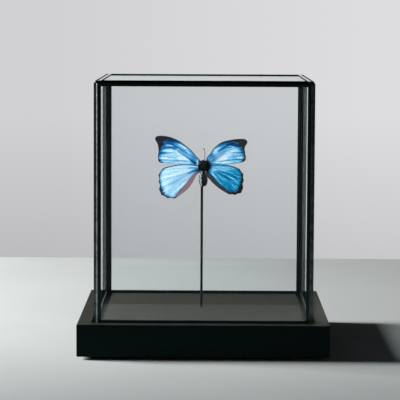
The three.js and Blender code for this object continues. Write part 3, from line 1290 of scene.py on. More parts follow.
@dataclass(frozen=True)
class Fan:
    """How the fine streaks run: out from root, straight, or bending level within bend millimetres."""

    root: Point
    bend: float | None = None

    def read(self, plan: np.ndarray) -> np.ndarray:
        """The streaks' coordinates, across and along them, in about a millimetre each.

        Args:
            plan: points on the wing.

        Returns:
            One row of across, along and 0 for each point.
        """
        out, up = (plan - self.root).T
        along = np.hypot(out, up)
        if self.bend is None:
            across = np.arctan2(up, np.maximum(out, 0.05)) * 32
        else:
            across = up / (1 - np.exp(-np.maximum(out, 0.4) / self.bend))
        return np.stack([across, along, np.zeros_like(out)], axis=1)


@dataclass
class Wing:
    """One wing: a thin sheet with veins, pleats and a scalloped rim, scaled blue above and brown below.

    All points are (out, up) in millimetres from the body's middle and the wings' root. GRID is the
    mesh's step, SPAN the reach, HINGE and CAMBER the bend, and TUCK how far the root goes into the body.
    SPREAD widens the soft strokes. GLINT_LIFT and DEEP_DROP are how much the painted highlight streaks
    and the deeper streaks change the pale_and_sheen.
    HALF_THICK is half the sheet's thickness at the root, THINNING what it loses by the margin, and
    VEIN_LIFT what a vein adds. ROOT_MIDDLE is the middle of the painted shadow on a right wing's root.
    """

    name: str
    side: int
    sweep: float
    behind: float
    outline: tuple[Point, ...]
    blue: tuple[Point, ...]
    fan: Fan
    margin: Point
    scallops: int
    scallop_depth: float
    pale_and_sheen: float
    teal: float
    patches: tuple[Patch, ...]
    lines: tuple[Line, ...]
    ribs: tuple[tuple[Point, ...], ...]
    spots: tuple[tuple[Point, float], ...]
    upper: WingUpper
    thin_edge: float = 0.8
    edged_above: float = 3.5
    strip_end: float | None = None
    root_shade: float = 0.0

    GRID = 0.36
    SPAN = 51.0
    HINGE = 4.0
    CAMBER = 1.8
    TUCK = 2.4
    SPREAD = 1.35
    PLEAT_DEPTH = 0.16
    PLEAT_WIDTH = 5.2
    RIPPLE_DEPTH = 0.1
    HALF_THICK = 0.13
    THINNING = 0.05
    VEIN_LIFT = 0.07
    GLINT_LIFT = 0.42
    DEEP_DROP = 0.5
    VEIN_WIDTH = 0.28
    ROOT_MIDDLE = (3.0, -0.6)

    def rim(self) -> np.ndarray:
        """The wing's closed edge.

        Returns:
            Evenly spaced points. The last is the first again.
        """
        line = smooth_line(self.outline, closed=True, per_span=24)
        length = np.linalg.norm(np.diff(line, axis=0), axis=1).sum()
        made = spaced(line, int(length / self.GRID) + 1)
        share = np.linspace(0, 1, len(made))
        along = (share - self.margin[0]) / (self.margin[1] - self.margin[0])
        bite = self.scallop_depth * np.abs(np.sin(math.pi * self.scallops * along))
        bite *= (along > 0) & (along < 1)
        inwards = np.mean(self.outline, axis=0) - made
        made += inwards / np.linalg.norm(inwards, axis=1)[:, None] * bite[:, None]
        made[:, 0] -= self.TUCK * ease(made[:, 0], 8.0, 5.4)
        return made

    def lay_out(self) -> Shape:
        """Fills the rim with triangles whose edges follow the lines and ribs.

        Returns:
            The flat points and the triangles.
        """
        rim = self.rim()
        points = list(rim[:-1])
        edges = [(i, (i + 1) % len(points)) for i in range(len(points))]
        drawn = []
        for path in (*self.inked(), *self.ribs):
            smooth = smooth_line(path)
            length = np.linalg.norm(np.diff(smooth, axis=0), axis=1).sum()
            run = spaced(smooth, max(3, int(length / self.GRID)))
            kept = inside(run, rim) & (nearest(run, rim)[0] > self.GRID * 0.8)
            drawn.append(run)
            for index, (place, keep) in enumerate(zip(run, kept)):
                if keep and index and kept[index - 1]:
                    edges.append((len(points) - 1, len(points)))
                if keep:
                    points.append(place)
        low, high = rim.min(0), rim.max(0)
        xs = np.arange(low[0], high[0], self.GRID)
        ys = np.arange(low[1], high[1], self.GRID * math.sqrt(0.75))
        grid = np.array([(x + (row % 2) * self.GRID / 2, y) for row, y in enumerate(ys) for x in xs])
        grid = grid[inside(grid, rim)]
        free = nearest(grid, rim)[0] > self.GRID * 0.6
        for run in drawn:
            free &= nearest(grid, run)[0] > self.GRID * 0.5
        points += list(grid[free])
        found = geometry.delaunay_2d_cdt([Vector(p) for p in points], edges, [], 1, 1e-4)
        return np.array([tuple(v) for v in found[0]]), [list(face) for face in found[2]]

    def inked(self) -> list[tuple[Point, ...]]:
        """The points of the dark lines."""
        return [line.points for line in self.lines if line.kind is Stroke.INK]

    def drawn(self, plan: np.ndarray, kind: Stroke) -> np.ndarray:
        """How strong the lines of one kind are at each point.

        Args:
            plan: the points.
            kind: which lines.

        Returns:
            A number from 0 to 1 for each point.
        """
        total = np.zeros(len(plan))
        for line in self.lines:
            if line.kind is not kind:
                continue
            away, share = nearest(plan, smooth_line(line.points))
            wide = line.wide[0] + (line.wide[1] - line.wide[0]) * share
            wide *= 1.0 if kind is Stroke.INK else self.SPREAD
            fade = ease(share, -0.02, 0.12) * ease(share, 1.02, 0.8)
            total = np.maximum(total, line.strong * fade * np.exp(-((away / wide) ** 2)))
        return total

    def fields(self, plan: np.ndarray) -> dict[str, np.ndarray]:
        """What the finishes read at each point of the wing.

        Args:
            plan: the points.

        Returns:
            A number or vector for each point, by name.
        """
        rim_mm = nearest(plan, self.rim())[0]
        border = smooth_line(self.blue, closed=True)
        blue = nearest(plan, border)[0] * np.where(inside(plan, border), 1, -1)
        # Paleness with painted sheen: patches, painted highlight streaks and deeper streaks.
        pale_and_sheen = np.full(len(plan), self.pale_and_sheen)
        for patch in self.patches:
            turn = math.radians(patch.turn)
            dx, dy = (plan - patch.at).T
            along = (dx * math.cos(turn) + dy * math.sin(turn)) / patch.reach[0]
            across = (dy * math.cos(turn) - dx * math.sin(turn)) / patch.reach[1]
            pale_and_sheen += patch.lift * np.exp(-(along**2) - across**2)
        pale_and_sheen += self.GLINT_LIFT * self.drawn(plan, Stroke.GLINT)
        pale_and_sheen -= self.DEEP_DROP * self.drawn(plan, Stroke.DEEP)
        vein = np.zeros(len(plan))
        for rib in (*self.ribs, *self.inked()):
            away = nearest(plan, smooth_line(rib))[0] / self.VEIN_WIDTH
            vein = np.maximum(vein, np.exp(-(away**2)))
        spot = np.full(len(plan), 1.0)
        for centre, radius in self.spots:
            spot = np.minimum(spot, np.linalg.norm(plan - centre, axis=1) / radius / 2)
        strip = np.zeros(len(plan))
        if self.strip_end is not None:
            strip = ease(plan[:, 0], self.strip_end + 2, self.strip_end - 1.5) * ease(blue, -0.25, -0.6)
            strip *= ease(plan[:, 1], -5.2, -7.0)
        # Painted shadow that the thorax casts on the root of a right wing.
        shade = np.zeros(len(plan))
        if self.root_shade:
            away = np.linalg.norm(plan - self.ROOT_MIDDLE, axis=1)
            shade = ease(away, self.root_shade + 3.2, self.root_shade - 1.8)
        unedged = 5.0 * ease(plan[:, 1], self.edged_above + 1, self.edged_above - 1)
        return {
            "rim_mm": rim_mm,
            "blue_mm": blue,
            "edge_mm": rim_mm - self.thin_edge + unedged,
            "pale_and_sheen": pale_and_sheen,
            "ink": self.drawn(plan, Stroke.INK),
            # The right wings' iridescent tint, painted as colour.
            "teal": np.full(len(plan), self.teal) * ease(plan[:, 0] - plan[:, 1], 8.0, 30.0),
            "vein": vein,
            "spot": spot,
            "strip": strip,
            "shade": shade,
            "streak": self.fan.read(plan),
            "plan": np.column_stack([plan, np.zeros(len(plan))]),
        }

    def place(self, plan: np.ndarray, forward: np.ndarray) -> np.ndarray:
        """Where points of the flat wing lie in space.

        Args:
            plan: the points.
            forward: how far each stands in front of the wing's middle sheet.

        Returns:
            The places in millimetres.
        """
        angle = math.radians(self.sweep)
        reach = plan[:, 0] - self.HINGE
        arch = self.CAMBER * np.sin(math.pi * np.maximum(reach, 0) / (self.SPAN - self.HINGE))
        x = self.side * (self.HINGE + reach * math.cos(angle) + forward * math.sin(angle))
        y = WING_Y + reach * math.sin(angle) - arch + self.behind - forward * math.cos(angle)
        return np.stack([BUTTERFLY_X + x, y, WING_ROOT_Z + plan[:, 1]], axis=1)

    def build(self) -> None:
        """Makes the wing and its fields."""
        plan, triangles = self.lay_out()
        fields = self.fields(plan)
        across, along = fields["streak"][:, 0], fields["streak"][:, 1]
        pleats = self.PLEAT_DEPTH * np.sin(across * 2 * math.pi / self.PLEAT_WIDTH) * ease(along, 8, 30)
        pleats += self.RIPPLE_DEPTH * ripple(along, 5, 31)
        thick = self.HALF_THICK - self.THINNING * ease(along, 10, 45)
        thick += self.VEIN_LIFT * fields["vein"] * ease(fields["rim_mm"], 0, 1.5)
        thick *= 0.45 + 0.55 * ease(fields["rim_mm"], 0, 0.5)
        front, back = self.place(plan, pleats + thick), self.place(plan, pleats - thick)
        a, b, c = (front[i] for i in triangles[0])
        if np.cross(b - a, c - a)[1] > 0:
            triangles = [face[::-1] for face in triangles]
        count = len(plan)
        once: dict[tuple[int, int], tuple[int, int]] = {}
        for face in triangles:
            for i, j in zip(face, face[1:] + face[:1]):
                edge = (min(i, j), max(i, j))
                if once.pop(edge, None) is None:
                    once[edge] = (i, j)
        pile = Pile()
        pile.add(np.vstack([front, back]), triangles)
        pile.faces.extend([[v + count for v in face[::-1]] for face in triangles])
        pile.faces.extend([[j, i, i + count, j + count] for i, j in once.values()])
        pile.finishes = [0] * len(triangles) + [1] * (len(triangles) + len(once))
        made = pile.make(self.name + "_scaled", [self.upper.material(), WING_UNDERSIDE.material()], 70)
        for name, values in fields.items():
            both = np.concatenate([values, values]).astype(np.float32)
            kind, key = ("FLOAT", "value") if values.ndim == 1 else ("FLOAT_VECTOR", "vector")
            made.data.attributes.new(name, kind, "POINT").data.foreach_set(key, both.ravel())
        settle(made, Slot.WING, self.name)


def ink(points: tuple[Point, ...], wide: tuple[float, float], strong: float) -> Line:
    """A dark vein or streak."""
    return Line(Stroke.INK, points, wide, strong)


def deep(points: tuple[Point, ...], wide: tuple[float, float], strong: float) -> Line:
    """A streak of deeper blue in the painted sheen."""
    return Line(Stroke.DEEP, points, wide, strong)


def glint(points: tuple[Point, ...], wide: tuple[float, float], strong: float) -> Line:
    """A painted highlight streak."""
    return Line(Stroke.GLINT, points, wide, strong)


LEFT_SWEEP, RIGHT_SWEEP = 7.0, 23.0
FORE_FAN = Fan((3.4, 1.2), 11.5)
HIND_FAN = Fan((3.6, -3.4))
FORE_RIBS = (
    ((6, 3), (14, 8.6), (24, 12.6), (35, 14.8), (46, 15.4)),
    ((6, 1.4), (18, 2.2), (32, 2.9), (45, 3.1)),
    ((6, 5), (12, 12.5), (20, 18.5), (30, 22.8), (38, 25.6)),
)
HIND_RIBS = (
    ((6, -2.6), (16, -1.6), (28, -2.4), (38, -5)),
    ((6, -5.4), (14, -13), (20, -20.6), (25, -27)),
)
FORE_SPOTS = (((34, 17), 2.1), ((37, 11.5), 2.6), ((36.5, 6), 1.9))
HIND_SPOTS = (((22, -6), 3.0), ((33, -13), 2.6), ((34, -20), 2.2), ((31, -26), 2.0))

FOREWING_LEFT = Wing(
    name="forewing_left", side=-1, sweep=LEFT_SWEEP, behind=0.0,
    outline=(
        (5.4, 1), (5.4, 4), (7.2, 8.8), (10.6, 13.6), (18, 20.2), (27.7, 26.6), (38.3, 30), (45.5, 30.4),
        (49.4, 29.4), (50.5, 26.8), (48, 21.5), (47, 15.5), (47.5, 8), (46.6, 3.6), (42, 1.8), (32, 1.2),
        (15, 1),
    ),
    blue=(
        (1, -4), (1, 9), (8, 15), (15, 20.3), (20, 21.6), (24, 23.8), (28, 25), (33, 25), (38, 25.2),
        (40.7, 23.8), (41, 21.3), (41.4, 19.4), (42.9, 17.2), (44.2, 15), (45.4, 11.9), (45.9, 9.6),
        (46.1, 7), (45.4, 5), (43.6, 3), (42, -2), (20, -4),
    ),
    fan=FORE_FAN, margin=(0.5, 0.66), scallops=4, scallop_depth=0.2,
    pale_and_sheen=0.52, teal=0.0,
    patches=(
        Patch((18, 13.4), (9, 2.2), 38, -0.06), Patch((19, 18.0), (8, 2.0), 38, 0.2),
        Patch((24, 8.0), (14, 4.0), 20, 0.3), Patch((39, 6.8), (9, 3.4), 0, 0.3),
        Patch((33, 14.4), (6, 2.0), 0, 0.22),
        Patch((36, 23.4), (9, 2.4), 0, -0.26), Patch((9.5, 8), (3.4, 3.4), 50, -0.2),
        # The small pale patch at (6.2, 2.6) is a painted highlight on the root.
        Patch((8.6, 1.6), (4.6, 1.6), 16, -0.3), Patch((6.2, 2.6), (1.0, 2.4), 0, 0.45),
        Patch((26, 2.4), (17, 1.6), 0, 0.26), Patch((16, 13.6), (5, 1.8), 38, 0.16),
    ),
    lines=(
        deep(((6.4, 1.4), (8.1, 2.3), (13, 5.4), (18.3, 9.2)), (1.2, 0.5), 1.0),
        ink(((6.6, 1.6), (8.1, 2.3), (18.3, 9.2), (24.2, 12.8), (28.4, 16)), (0.5, 0.36), 0.85),
        deep(((28, 16.6), (34, 18.3), (38.2, 17.9), (43.8, 17)), (0.6, 1.0), 0.9),
        ink(((21.6, 14.8), (25, 17.4), (28, 19.3)), (0.5, 0.5), 0.95),
        deep(((27, 18.8), (31.5, 21), (36, 22.6)), (0.5, 0.8), 0.9),
        deep(((30, 20.6), (34.4, 22.1), (40.4, 22.3)), (0.7, 0.8), 0.75),
        ink(((24.6, 14.4), (27.4, 16.6), (29.6, 18.4)), (0.24, 0.24), 0.6),
        ink(((25, 13), (31.2, 13.1), (38.2, 12.6), (45.2, 12.5)), (0.22, 0.5), 0.4),
        ink(((20.5, 10.2), (29, 9.6), (38.7, 8.9), (45.8, 9.3)), (0.2, 0.4), 0.35),
        ink(((15, 4.6), (20, 5), (29, 4.8), (37.6, 5.2), (46.4, 5)), (0.24, 0.45), 0.75),
        ink(((9, 9.4), (15, 15.4), (24, 22.4), (31, 25.4)), (0.2, 0.2), 0.3),
        deep(((39, 12.8), (43, 12.5), (45.6, 12.5)), (0.8, 1.4), 0.6),
        deep(((36, 20), (41.4, 20)), (0.5, 0.9), 0.5),
        deep(((16.6, 12.8), (19.6, 15.4), (22, 17)), (0.5, 0.4), 0.5),
        glint(((12.6, 4.6), (20, 8.4), (27, 13), (30.4, 16.2)), (0.8, 1.2), 0.8),
        glint(((31, 20.2), (35, 20.6), (39.8, 20.6)), (0.7, 0.6), 0.7),
        glint(((30, 6.8), (38, 6.8), (45.4, 6.7)), (0.7, 0.6), 0.8),
        glint(((31, 15.6), (38, 15.3), (43.6, 15)), (0.8, 0.6), 0.6),
        glint(((30, 11.2), (38, 10.8), (45, 10.8)), (0.6, 0.5), 0.5),
        glint(((18, 17.2), (23, 20.4), (27, 22.2)), (0.7, 0.6), 0.6),
    ),
    ribs=FORE_RIBS, spots=FORE_SPOTS, upper=WingUpper("forewing_left_scales", feather=1.5), thin_edge=0.85,
)

FOREWING_RIGHT = Wing(
    name="forewing_right", side=1, sweep=RIGHT_SWEEP, behind=0.0,
    outline=(
        (5.4, 0.6), (5.4, 6.4), (7.4, 11.8), (11.8, 18), (20.2, 23.8), (31, 26.3), (42.5, 27), (48, 25.9),
        (49.5, 22.8), (46.6, 18), (47, 12.5), (48, 6), (46.5, 3.6), (41.5, 2), (31.5, 0.8), (15, 0.4),
    ),
    blue=(
        (1, -4), (1, 12), (7, 17), (12, 19.4), (15.5, 20.2), (22.4, 23.3), (27.1, 24.2), (34, 23.5),
        (38.1, 21.8), (39.6, 19.4), (42.3, 17), (44, 13.8), (45.2, 10.5), (45.6, 6.8), (44.4, 4.4),
        (42, 0), (36, -4), (18, -5),
    ),
    fan=FORE_FAN, margin=(0.5, 0.66), scallops=4, scallop_depth=0.2,
    pale_and_sheen=0.5, teal=0.35,
    patches=(
        Patch((24, 9.0), (14, 4.6), 24, 0.5), Patch((10, 9.5), (3.4, 4.4), 40, -0.26),
        Patch((33, 21.0), (10, 2.2), -8, -0.36), Patch((15, 15.4), (6, 2.4), 50, 0.2),
        Patch((40, 7.4), (6, 2.4), 0, 0.12), Patch((42, 15), (3, 3.4), -40, -0.24),
        Patch((24, 2.4), (12, 1.6), 0, 0.24), Patch((12, 13.4), (4, 2.6), 50, 0.16),
    ),
    lines=(
        ink(((8.2, 3.2), (10.4, 5.2), (19, 11.2), (27.6, 17.4)), (0.46, 0.36), 0.95),
        ink(((9.6, 3), (12.4, 4.8), (19.8, 9.8), (27, 16)), (0.4, 0.3), 0.85),
        ink(((15.5, 13.8), (17.9, 15.5), (22.5, 17.8), (26.4, 19.9)), (0.6, 0.5), 0.9),
        deep(((15, 13.8), (21, 17.6), (27.1, 20.8), (33, 21.6), (38, 19.6), (41.8, 16.4)), (0.7, 1.1), 0.62),
        ink(((30, 16.4), (36.4, 14.4), (44, 12.8)), (0.18, 0.3), 0.3),
        ink(((30.6, 12.8), (36.5, 12.4), (44.4, 12.4)), (0.2, 0.42), 0.45),
        ink(((30.7, 9.3), (37.6, 9.7), (45, 9.5)), (0.2, 0.38), 0.45),
        ink(((18, 3.4), (22.6, 4.2), (29.5, 5.1), (36.5, 5.2), (45.3, 5.4)), (0.26, 0.5), 0.85),
        ink(((8.6, 11.4), (14, 17), (20, 20.8), (29, 23.2)), (0.2, 0.2), 0.35),
        deep(((7, 1.6), (12, 1.2), (20, 1)), (1.1, 0.5), 0.7),
        glint(((29, 7), (37, 7.4), (45.2, 7.5)), (0.7, 0.6), 0.9),
        glint(((34, 10.9), (39, 11), (45, 11)), (0.5, 0.5), 0.7),
        glint(((30, 15), (37, 14), (43.6, 13.6)), (0.6, 0.5), 0.8),
        glint(((20, 3), (34, 3.4), (43, 3.4)), (0.6, 0.6), 0.8),
        glint(((11, 12.4), (15, 16.4), (19, 18.8)), (0.7, 0.6), 0.6),
        glint(((28, 19), (31, 19.2), (35, 18.4)), (0.6, 0.6), 0.7),
        glint(((14, 7.2), (20, 11.4), (26, 16)), (0.3, 0.3), 0.5),
    ),
    ribs=FORE_RIBS, spots=FORE_SPOTS,
    upper=WingUpper(
        "forewing_right_scales", border="2b2c2f", border_inner="26282d", feather=1.5, contrast=1.2,
    ),
    root_shade=5.8, thin_edge=0.95,
)

HINDWING_LEFT = Wing(
    name="hindwing_left", side=-1, sweep=LEFT_SWEEP, behind=1.0,
    outline=(
        (5.4, -0.8), (15, 1), (25, 0.8), (32, -0.5), (41.2, -3.2), (46.6, -8.6), (46.9, -16), (46.2, -22.3),
        (46, -28.6), (40.4, -33.6), (31, -35.2), (28, -33.8), (21.4, -29.1), (15, -23.4), (10, -16),
        (6.4, -8.1), (5.4, -4.5),
    ),
    blue=(
        (1, -1), (4, 6), (24, 6), (37, 0), (41.8, -4.2), (44.6, -8.6), (45, -14.8), (44.4, -19.8),
        (42.8, -24), (41, -28.4), (37.2, -32.4), (30.6, -33.2), (26.6, -29.6), (19.3, -20.9),
        (14.5, -14.5), (7.8, -7.6), (4, -4.6),
    ),
    fan=HIND_FAN, margin=(0.31, 0.65), scallops=6, scallop_depth=1.0,
    # Far paler than the right hindwing: painted sheen of the light from the left.
    pale_and_sheen=0.9, teal=0.0,
    patches=(
        Patch((7, -4.6), (5.5, 1.6), -16, -0.4), Patch((28, -16), (9, 4), -38, -0.12),
        Patch((36, -28), (6, 4), 20, -0.12), Patch((18, -10), (7, 2.0), -34, -0.1),
    ),
    lines=(
        deep(((5.4, -3.0), (10, -2.6), (17, -3)), (0.8, 0.4), 0.9),
        deep(((5.4, -4.6), (10, -6.0), (17, -9)), (0.9, 0.5), 1.0),
        deep(((5.4, -5.6), (9, -8.6), (14, -13)), (0.5, 0.4), 0.7),
        ink(((6, -4), (14.5, -3.2), (24.2, -4.5), (33.3, -4.9), (40.8, -4.8)), (0.2, 0.2), 0.26),
        ink(((6, -4.4), (12.9, -5.8), (19.3, -8), (29, -9.6), (43, -9.6)), (0.24, 0.2), 0.34),
        ink(((6, -4.6), (15.1, -7.4), (27.9, -12.4), (43, -16)), (0.28, 0.22), 0.4),
        ink(((6, -4.8), (17.2, -9.2), (26.8, -14.2), (35, -19.4), (42, -23)), (0.32, 0.26), 0.5),
        ink(((6, -5), (15.6, -9.6), (23.6, -15.6), (30.4, -21.6), (38.6, -29)), (0.32, 0.26), 0.5),
        ink(((6, -5.2), (14, -10.4), (21.4, -17.2), (27, -23.4), (32.6, -31)), (0.26, 0.24), 0.4),
        ink(((7.6, -7.6), (14.5, -14.8), (19.3, -21.2), (26.8, -29.9)), (0.5, 0.5), 0.8),
        glint(((12, -5), (26, -8), (42, -12.4)), (0.5, 0.7), 0.3),
        glint(((9, -8), (14, -13.4), (24, -25)), (0.5, 0.9), 0.5),
        deep(((22, -12.6), (29, -17.4), (36, -23.6)), (0.5, 0.9), 0.2),
        deep(((16, -12), (23, -18.6), (31, -28.6)), (0.4, 0.8), 0.15),
    ),
    ribs=HIND_RIBS, spots=HIND_SPOTS,
    upper=WingUpper(
        # Its strip colour is the lit copy of the right hindwing's: painted light.
        "hindwing_left_scales", border="2b2836", border_inner="2c3f5e", strip="9a7880", line="34527c",
        contrast=0.45,
    ),
    thin_edge=1.0, edged_above=-60.0, strip_end=28.0,
)

HINDWING_RIGHT = Wing(
    name="hindwing_right", side=1, sweep=RIGHT_SWEEP, behind=1.0,
    outline=(
        (5.4, -0.8), (15, 0.6), (24, 0.2), (29.5, -0.6), (36, -2.5), (41.4, -5.1), (44.6, -8.5), (46, -14.7),
        (45.2, -21.2), (44.7, -27.6), (40.8, -30.7), (32, -31.6), (23.3, -27.8), (14.6, -21.9), (7.6, -15.3),
        (5.5, -9), (5.4, -4.5),
    ),
    blue=(
        (1, -1), (4, 6), (24, 6), (32, 0.4), (36, -1.6), (40.3, -5.2), (42.6, -9), (42.9, -14.7),
        (41.8, -18.6), (40.3, -22.8), (38.2, -26.8), (34.8, -28.4), (30.9, -28.4), (25.1, -25.4),
        (19.3, -20.9), (13.4, -14.9), (7, -9.2), (4, -6),
    ),
    fan=HIND_FAN, margin=(0.31, 0.65), scallops=6, scallop_depth=1.0,
    pale_and_sheen=0.46, teal=1.0,
    patches=(
        Patch((22, -3.4), (14, 2.8), -6, 0.3), Patch((11, -6), (4, 3), -20, 0.1),
        Patch((27, -22), (9, 4), -38, -0.08), Patch((40, -7), (4, 3), 0, -0.1),
        Patch((20, -12), (7, 2.4), -40, 0.06),
    ),
    lines=(
        ink(((9.9, -2.6), (21.5, -4.4), (30.8, -5.7), (40, -8.6)), (0.26, 0.3), 0.5),
        deep(((10, -6.4), (22.7, -11), (32, -18)), (0.6, 1.1), 0.55),
        deep(((12, -5.4), (27.3, -8.4), (35, -12.4), (41.6, -17)), (0.5, 0.9), 0.6),
        ink(((9, -4.6), (20, -7), (31, -10.4), (43, -14)), (0.26, 0.28), 0.4),
        ink(((8.6, -5.4), (18, -9.6), (28, -15), (41, -23)), (0.26, 0.28), 0.44),
        ink(((8.4, -6.2), (16, -11), (25, -18.4), (35, -28)), (0.28, 0.28), 0.5),
        ink(((8, -9.8), (13.4, -15.4), (19.3, -21.4), (26, -26.8)), (0.4, 0.5), 0.7),
        ink(((10, 0), (18, 0.2), (26, -0.2)), (0.4, 0.5), 0.7),
        glint(((8.4, -7.4), (13.4, -12.6), (16.9, -16.6), (23, -23)), (0.8, 0.35), 0.95),
        glint(((15, -9), (20.9, -14.2), (26, -19)), (0.45, 0.35), 0.45),
        glint(((20, -5), (32, -9.2), (41, -14.2)), (0.4, 0.45), 0.6),
        glint(((18, -8), (29, -12.4), (36.1, -17), (40.6, -21)), (0.35, 0.5), 0.58),
        glint(((22, -13), (29, -17.6), (33.2, -21.6), (36.4, -26)), (0.35, 0.5), 0.58),
        glint(((9, -4), (15, -5.4), (24, -6.6)), (0.4, 0.35), 0.7),
        glint(((9, -5.6), (13, -7.6), (19, -10)), (0.4, 0.35), 0.7),
    ),
    ribs=HIND_RIBS, spots=HIND_SPOTS,
    upper=WingUpper(
        # Its strip colour is the shaded copy of the left hindwing's: painted shade.
        "hindwing_right_scales", border="111418", border_inner="131c26", strip="453f3f", line="03304f",
        contrast=0.85,
    ),
    thin_edge=0.9, edged_above=-60.0, strip_end=28.0, root_shade=5.8,
)


# ---------------------------------------------------------------------------- body and limbs


@dataclass
class ButterflyBody:
    """Head, eyes, palps, thorax and ringed abdomen, with the fur that covers them."""

    thorax: tuple[Place, Place] = ((0, BODY_Y, 182.6), (4.7, 3.9, 4.8))
    head: tuple[Place, Place] = ((0, BODY_Y, 187.0), (2.8, 2.6, 2.4))
    palps: tuple[Place, Place] = ((0, BODY_Y + 1.4, 188.0), (1.2, 1.3, 1.5))
    eye_at: Place = (2.6, BODY_Y, 187.3)
    eye_size: Place = (1.45, 1.65, 1.55)
    root_fur_z: float = 182.8
    abdomen_y: float = BODY_Y + 0.3
    tip_z: float = 161.9
    abdomen_length: float = 18.4
    abdomen_radius: float = 4.5
    abdomen_depth: float = 0.88
    rings: int = 7
    ring_depth: float = 0.075
    voxel: float = 0.28

    def abdomen_reach(self, t: np.ndarray | float) -> np.ndarray:
        """The abdomen's radius at a share t of its length from the tip."""
        swell = np.sin(math.pi * np.power(np.clip(t, 1e-4, 1), 0.72))
        return self.abdomen_radius * np.power(np.clip(swell, 0, 1), 0.62)

    def core(self) -> Shape:
        """The bare body as one blended skin.

        Returns:
            The vertices and faces.
        """
        pile = Pile()
        for centre, radii in (self.thorax, self.head, self.palps):
            pile.add(*ball(centre, radii, 32, 20))
        t = np.linspace(0.0, 1.0, 40)
        path = np.stack([0 * t, 0 * t + self.abdomen_y, self.tip_z + t * self.abdomen_length], 1)
        pile.add(*tube(path, np.maximum(self.abdomen_reach(t), 0.1), 32, self.abdomen_depth))
        rough = pile.make("body_core", [])
        remesh = rough.modifiers.new("skin", "REMESH")
        remesh.mode = "VOXEL"
        remesh.voxel_size = self.voxel * MM
        soften = rough.modifiers.new("soften", "SMOOTH")
        soften.factor = 0.5
        soften.iterations = 6
        done = bpy.data.meshes.new_from_object(rough.evaluated_get(bpy.context.evaluated_depsgraph_get()))
        vertices = np.array([v.co for v in done.vertices]) / MM
        faces = [list(p.vertices) for p in done.polygons]
        bpy.data.objects.remove(rough)
        bpy.data.meshes.remove(done)
        return self.creased(vertices), faces

    def creased(self, vertices: np.ndarray) -> np.ndarray:
        """Presses the joints between the abdomen's rings into the skin.

        Args:
            vertices: the skin's points.

        Returns:
            The pressed points.
        """
        t = (vertices[:, 2] - self.tip_z) / self.abdomen_length
        phase = (t * self.rings) % 1
        joint = np.exp(-((np.minimum(phase, 1 - phase) / 0.1) ** 2))
        depth = self.ring_depth * joint * ease(t, 0.04, 0.12) * ease(t, 0.92, 0.8)
        centre = np.array([0, self.abdomen_y])
        vertices[:, :2] -= (vertices[:, :2] - centre) * depth[:, None]
        return vertices

    def fur_on(
        self, shape: tuple[Place, Place], count: int, length: Point, lay: Place, rng: np.random.Generator
    ) -> Growth:
        """Hair all over an ellipsoid.

        Args:
            shape: its centre and half sizes.
            count: how many hairs.
            length: the shortest and longest.
            lay: the way that the coat lies.
            rng: picks places and lengths.

        Returns:
            The hairs' roots, ways and lengths.
        """
        centre, radii = (np.array(v) for v in shape)
        unit = rng.normal(size=(count, 3))
        unit /= np.linalg.norm(unit, axis=1)[:, None]
        roots = centre + unit * radii * 0.94
        normal = unit / radii
        normal /= np.linalg.norm(normal, axis=1)[:, None]
        ways = normal * 0.8 + np.array(lay) + rng.normal(scale=0.22, size=(count, 3))
        return roots, ways, rng.uniform(*length, size=count)

    def on_abdomen(self, t: np.ndarray, x: np.ndarray, y: np.ndarray, share: float) -> np.ndarray:
        """Points on the abdomen.

        Args:
            t: how far each is up its length, from 0 to 1.
            x: the first part of its direction from the middle line.
            y: the second part.
            share: how far out it lies, as a share of the abdomen's radius.

        Returns:
            The points.
        """
        reach = self.abdomen_reach(t) * share
        height = self.tip_z + t * self.abdomen_length
        return np.stack([reach * x, self.abdomen_y + self.abdomen_depth * reach * y, height], 1)

    def fur_on_abdomen(self, count: int, length: Point, turns: Point, rng: np.random.Generator) -> Growth:
        """Short hair lying down the abdomen.

        Args:
            count: how many hairs.
            length: the shortest and longest.
            turns: the first and last direction round the abdomen, in turns from +X over +Y.
            rng: picks places and lengths.

        Returns:
            The hairs' roots, ways and lengths.
        """
        t = rng.uniform(0.05, 0.95, size=count)
        turn = 2 * math.pi * rng.uniform(*turns, size=count)
        x, y = np.cos(turn), np.sin(turn)
        ways = np.stack([0.55 * x, 0.55 * y, np.full(count, -0.9)], 1)
        ways += rng.normal(scale=0.16, size=(count, 3))
        return self.on_abdomen(t, x, y, 0.96), ways, rng.uniform(*length, size=count)

    def tufts(self, count: int, each: int, span: Point, turns: Point, rng: np.random.Generator) -> Growth:
        """Small pale tufts down one flank of the abdomen.

        Args:
            count: how many tufts.
            each: how many hairs in a tuft.
            span: the lowest and highest tuft, as shares of the abdomen's length from the tip.
            turns: the first and last direction round the abdomen, in turns from +X over +Y.
            rng: picks places and lengths.

        Returns:
            The hairs' roots, ways and lengths.
        """
        t = np.repeat(np.linspace(*span, count) + rng.normal(scale=0.012, size=count), each)
        middle = np.repeat(rng.uniform(*turns, size=count), each)
        turn = 2 * math.pi * (middle + rng.normal(scale=0.006, size=len(t)))
        x, y = np.cos(turn), np.sin(turn)
        ways = np.stack([0.5 * x, 0.6 * y, np.full(len(t), -0.8)], 1)
        ways += rng.normal(scale=0.3, size=(len(t), 3))
        return self.on_abdomen(t, x, y, 0.97), ways, rng.uniform(0.5, 1.3, size=len(t))

    def fur_over_roots(self, side: int, count: int, length: Point, rng: np.random.Generator) -> Growth:
        """The longer hair that spreads from the thorax over a wing's root.

        Args:
            side: -1 for the left wing and 1 for the right.
            count: how many hairs.
            length: the shortest and longest.
            rng: picks places and lengths.

        Returns:
            The hairs' roots, ways and lengths.
        """
        up = rng.uniform(-6.0, 5.5, size=count)
        bulge = np.sqrt(np.clip(1 - (up / 7.5) ** 2, 0.05, 1))
        forward = rng.uniform(0.2, 2.6, size=count) * bulge
        roots = np.stack([side * (3.2 + 0.9 * bulge), BODY_Y - forward, self.root_fur_z + up], 1)
        ways = np.stack([np.full(count, side * 1.0), rng.uniform(-0.15, 0.35, size=count), up * 0.1], 1)
        return roots, ways + rng.normal(scale=0.14, size=(count, 3)), rng.uniform(*length, size=count)

